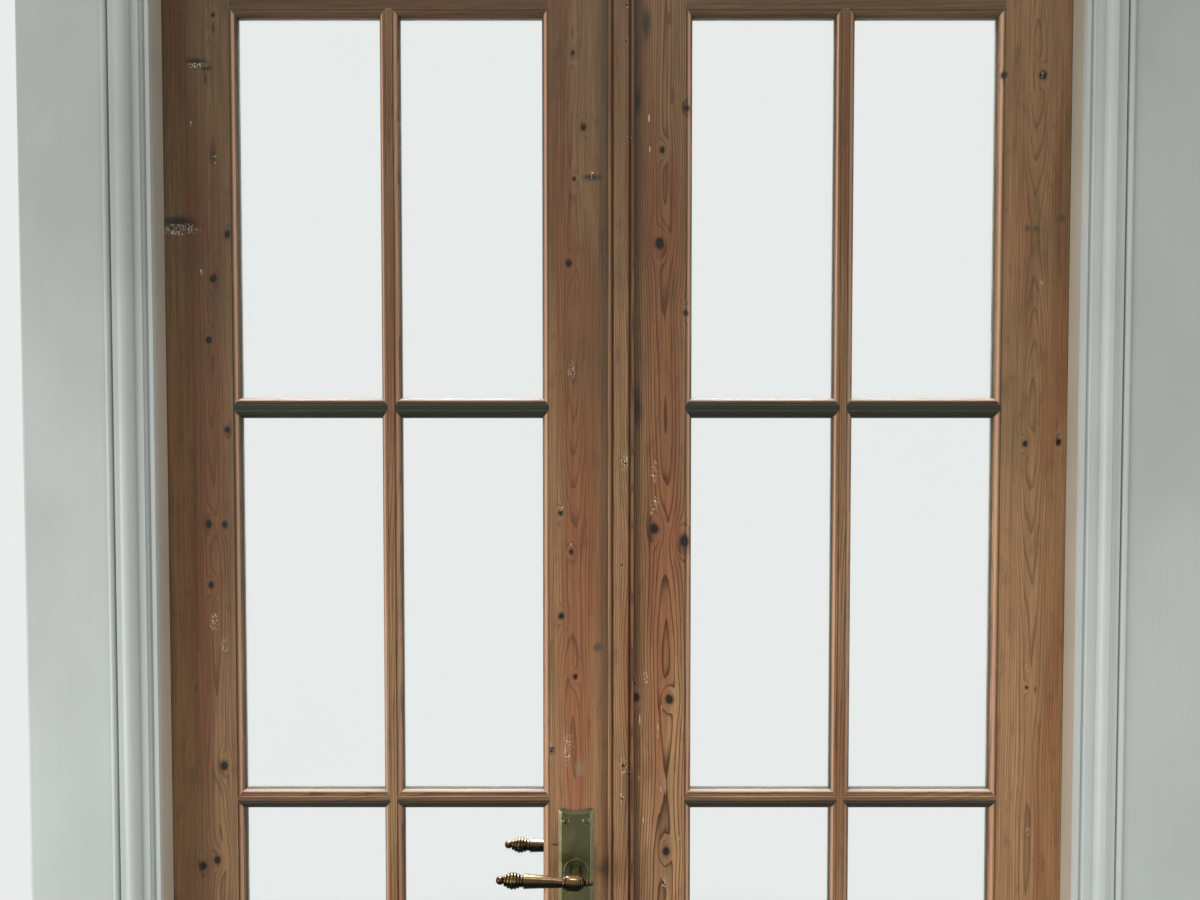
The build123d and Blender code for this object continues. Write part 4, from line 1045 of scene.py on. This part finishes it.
# %% Screws of the backplates
SCREW_ACROSS = 13.3 * MM
SCREW_HEIGHTS = (65 * MM, -141 * MM)
spindle_place = Vector(joints["lever_turn"]["pos_m"])
for name, way in (("inner", -1), ("outer", 1)):
    low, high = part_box("backplate_screws")
    face = low.y if way < 0 else high.y
    places = [(spindle_place.x + across, face, spindle_place.z + up)
              for across in (-SCREW_ACROSS, SCREW_ACROSS) for up in SCREW_HEIGHTS]
    piece = drive(f"{name}_plate_screws", plate_head, places, (0, way, 0), "left_leaf",
                  screw_brass)
    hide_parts("backplate_screws")
    print(piece.name, "at", round(face / MM, 2), "mm")

# %% [markdown]
# ## Light and floor
# The room side of such a door is lit softly, by a pale room and no sun. Two wide lamps stand far to
# the sides, where closed panes cannot mirror them, and give the mouldings their shape. A small weak
# one overhead draws the bright line along the turned brass. The sky outdoors is stronger and comes
# from above, and it catches every moulded edge beside the glass.

# %% Lamps
def lamp(name, place, aim, size, power):
    """A square lamp that looks at a point."""
    light = bpy.data.lights.new(name, "AREA")
    light.shape = "SQUARE"
    light.size = size
    light.energy = power
    holder = bpy.data.objects.new(name, light)
    bpy.context.scene.collection.objects.link(holder)
    holder.location = place
    holder.rotation_euler = (Vector(aim) - Vector(place)).to_track_quat("-Z", "Y").to_euler()


door_middle = (0.0, 0.0, 1.3)
lamp("room_window", (-3.6, -2.4, 1.0), door_middle, 2.4, 136)
lamp("room_wall", (3.4, -2.2, 1.0), door_middle, 2.4, 46)
lamp("room_ceiling", (0.0, -1.0, 3.3), (0.0, 0.0, 1.2), 0.5, 10)
lamp("sky", (0.0, 1.3, 4.4), (0.0, 0.0, 1.2), 2.2, 220)

# %% [markdown]
# The world is pale and even. Rays from the eye, and those that pass glass or bounce off metal, see
# it at its full paleness. The light that it sheds on the doors is weaker.

# %% Pale world
PALE = rgb(234, 236, 235)
WORLD_LEVEL = 0.50


def pale_share(tree):
    """1 for rays from the eye, through glass and off metal, 0 for light that falls on the doors."""
    rays = tree.nodes.new("ShaderNodeLightPath").outputs
    share = rays["Is Camera Ray"]
    for kind in ("Is Transmission Ray", "Is Glossy Ray"):
        either = tree.nodes.new("ShaderNodeMath")
        either.operation = "MAXIMUM"
        tree.links.new(share, either.inputs[0])
        tree.links.new(rays[kind], either.inputs[1])
        share = either.outputs[0]
    return share


world = bpy.data.worlds.new("pale_room")
bpy.context.scene.world = world
world.use_nodes = True
tree = world.node_tree
background = tree.nodes["Background"]
background.inputs["Color"].default_value = PALE
level = tree.nodes.new("ShaderNodeMapRange")
level.inputs["To Min"].default_value = WORLD_LEVEL
level.inputs["To Max"].default_value = 1.0
tree.links.new(pale_share(tree), level.inputs["Value"])
tree.links.new(level.outputs[0], background.inputs["Strength"])
print("world sheds", WORLD_LEVEL, "of its paleness on the doors")

# %% [markdown]
# The floor does the same. Near the doors it is a plain matt floor that takes their shadow, and
# further away it fades into the pale world, so that no horizon shows through the panes. The doors
# themselves see it darker, because a real floor throws back less light than a pale picture ground.

# %% Floor
FLOOR_TONE = rgb(172, 172, 168)
FLOOR_DUSTY = rgb(190, 191, 188)
FLOOR_FROM_BELOW = rgb(120, 118, 112)
FLOOR_SIDE = 60.0
FADE_FROM = 1.3
FADE_TO = 3.2

half = FLOOR_SIDE / 2
floor_mesh = bpy.data.meshes.new("floor")
corners = [(-half, -half, 0), (half, -half, 0), (half, half, 0), (-half, half, 0)]
floor_mesh.from_pydata(corners, [], [(0, 1, 2, 3)])
floor = bpy.data.objects.new("floor", floor_mesh)
bpy.context.scene.collection.objects.link(floor)
ground = Finish("pale_floor", Roughness=0.9)
cloud = noise(ground, own_place(ground), (1.5, 1.5, 1.5), detail=2.0)
share = pale_share(ground.tree)
seen_tone = mix(ground, cloud, FLOOR_TONE, FLOOR_DUSTY)
ground.feed(ground.shader.inputs["Base Color"], mix(ground, share, FLOOR_FROM_BELOW, seen_tone))
reach = ground.node("ShaderNodeVectorMath", operation="LENGTH")
ground.feed(reach.inputs[0], own_place(ground))
far = ground.math("MULTIPLY", ground.fade(reach.outputs["Value"], FADE_FROM, FADE_TO), share)
glow = ground.node("ShaderNodeEmission", {"Color": PALE, "Strength": 1.0})
blend = ground.node("ShaderNodeMixShader", {"Fac": far})
ground.feed(blend.inputs[1], ground.shader.outputs[0])
ground.feed(blend.inputs[2], glow.outputs[0])
ground.feed(ground.tree.nodes["Material Output"].inputs["Surface"], blend.outputs[0])
floor_mesh.materials.append(ground.material)
print("floor", FLOOR_SIDE, "m wide, fading from", FADE_FROM, "to", FADE_TO, "m")
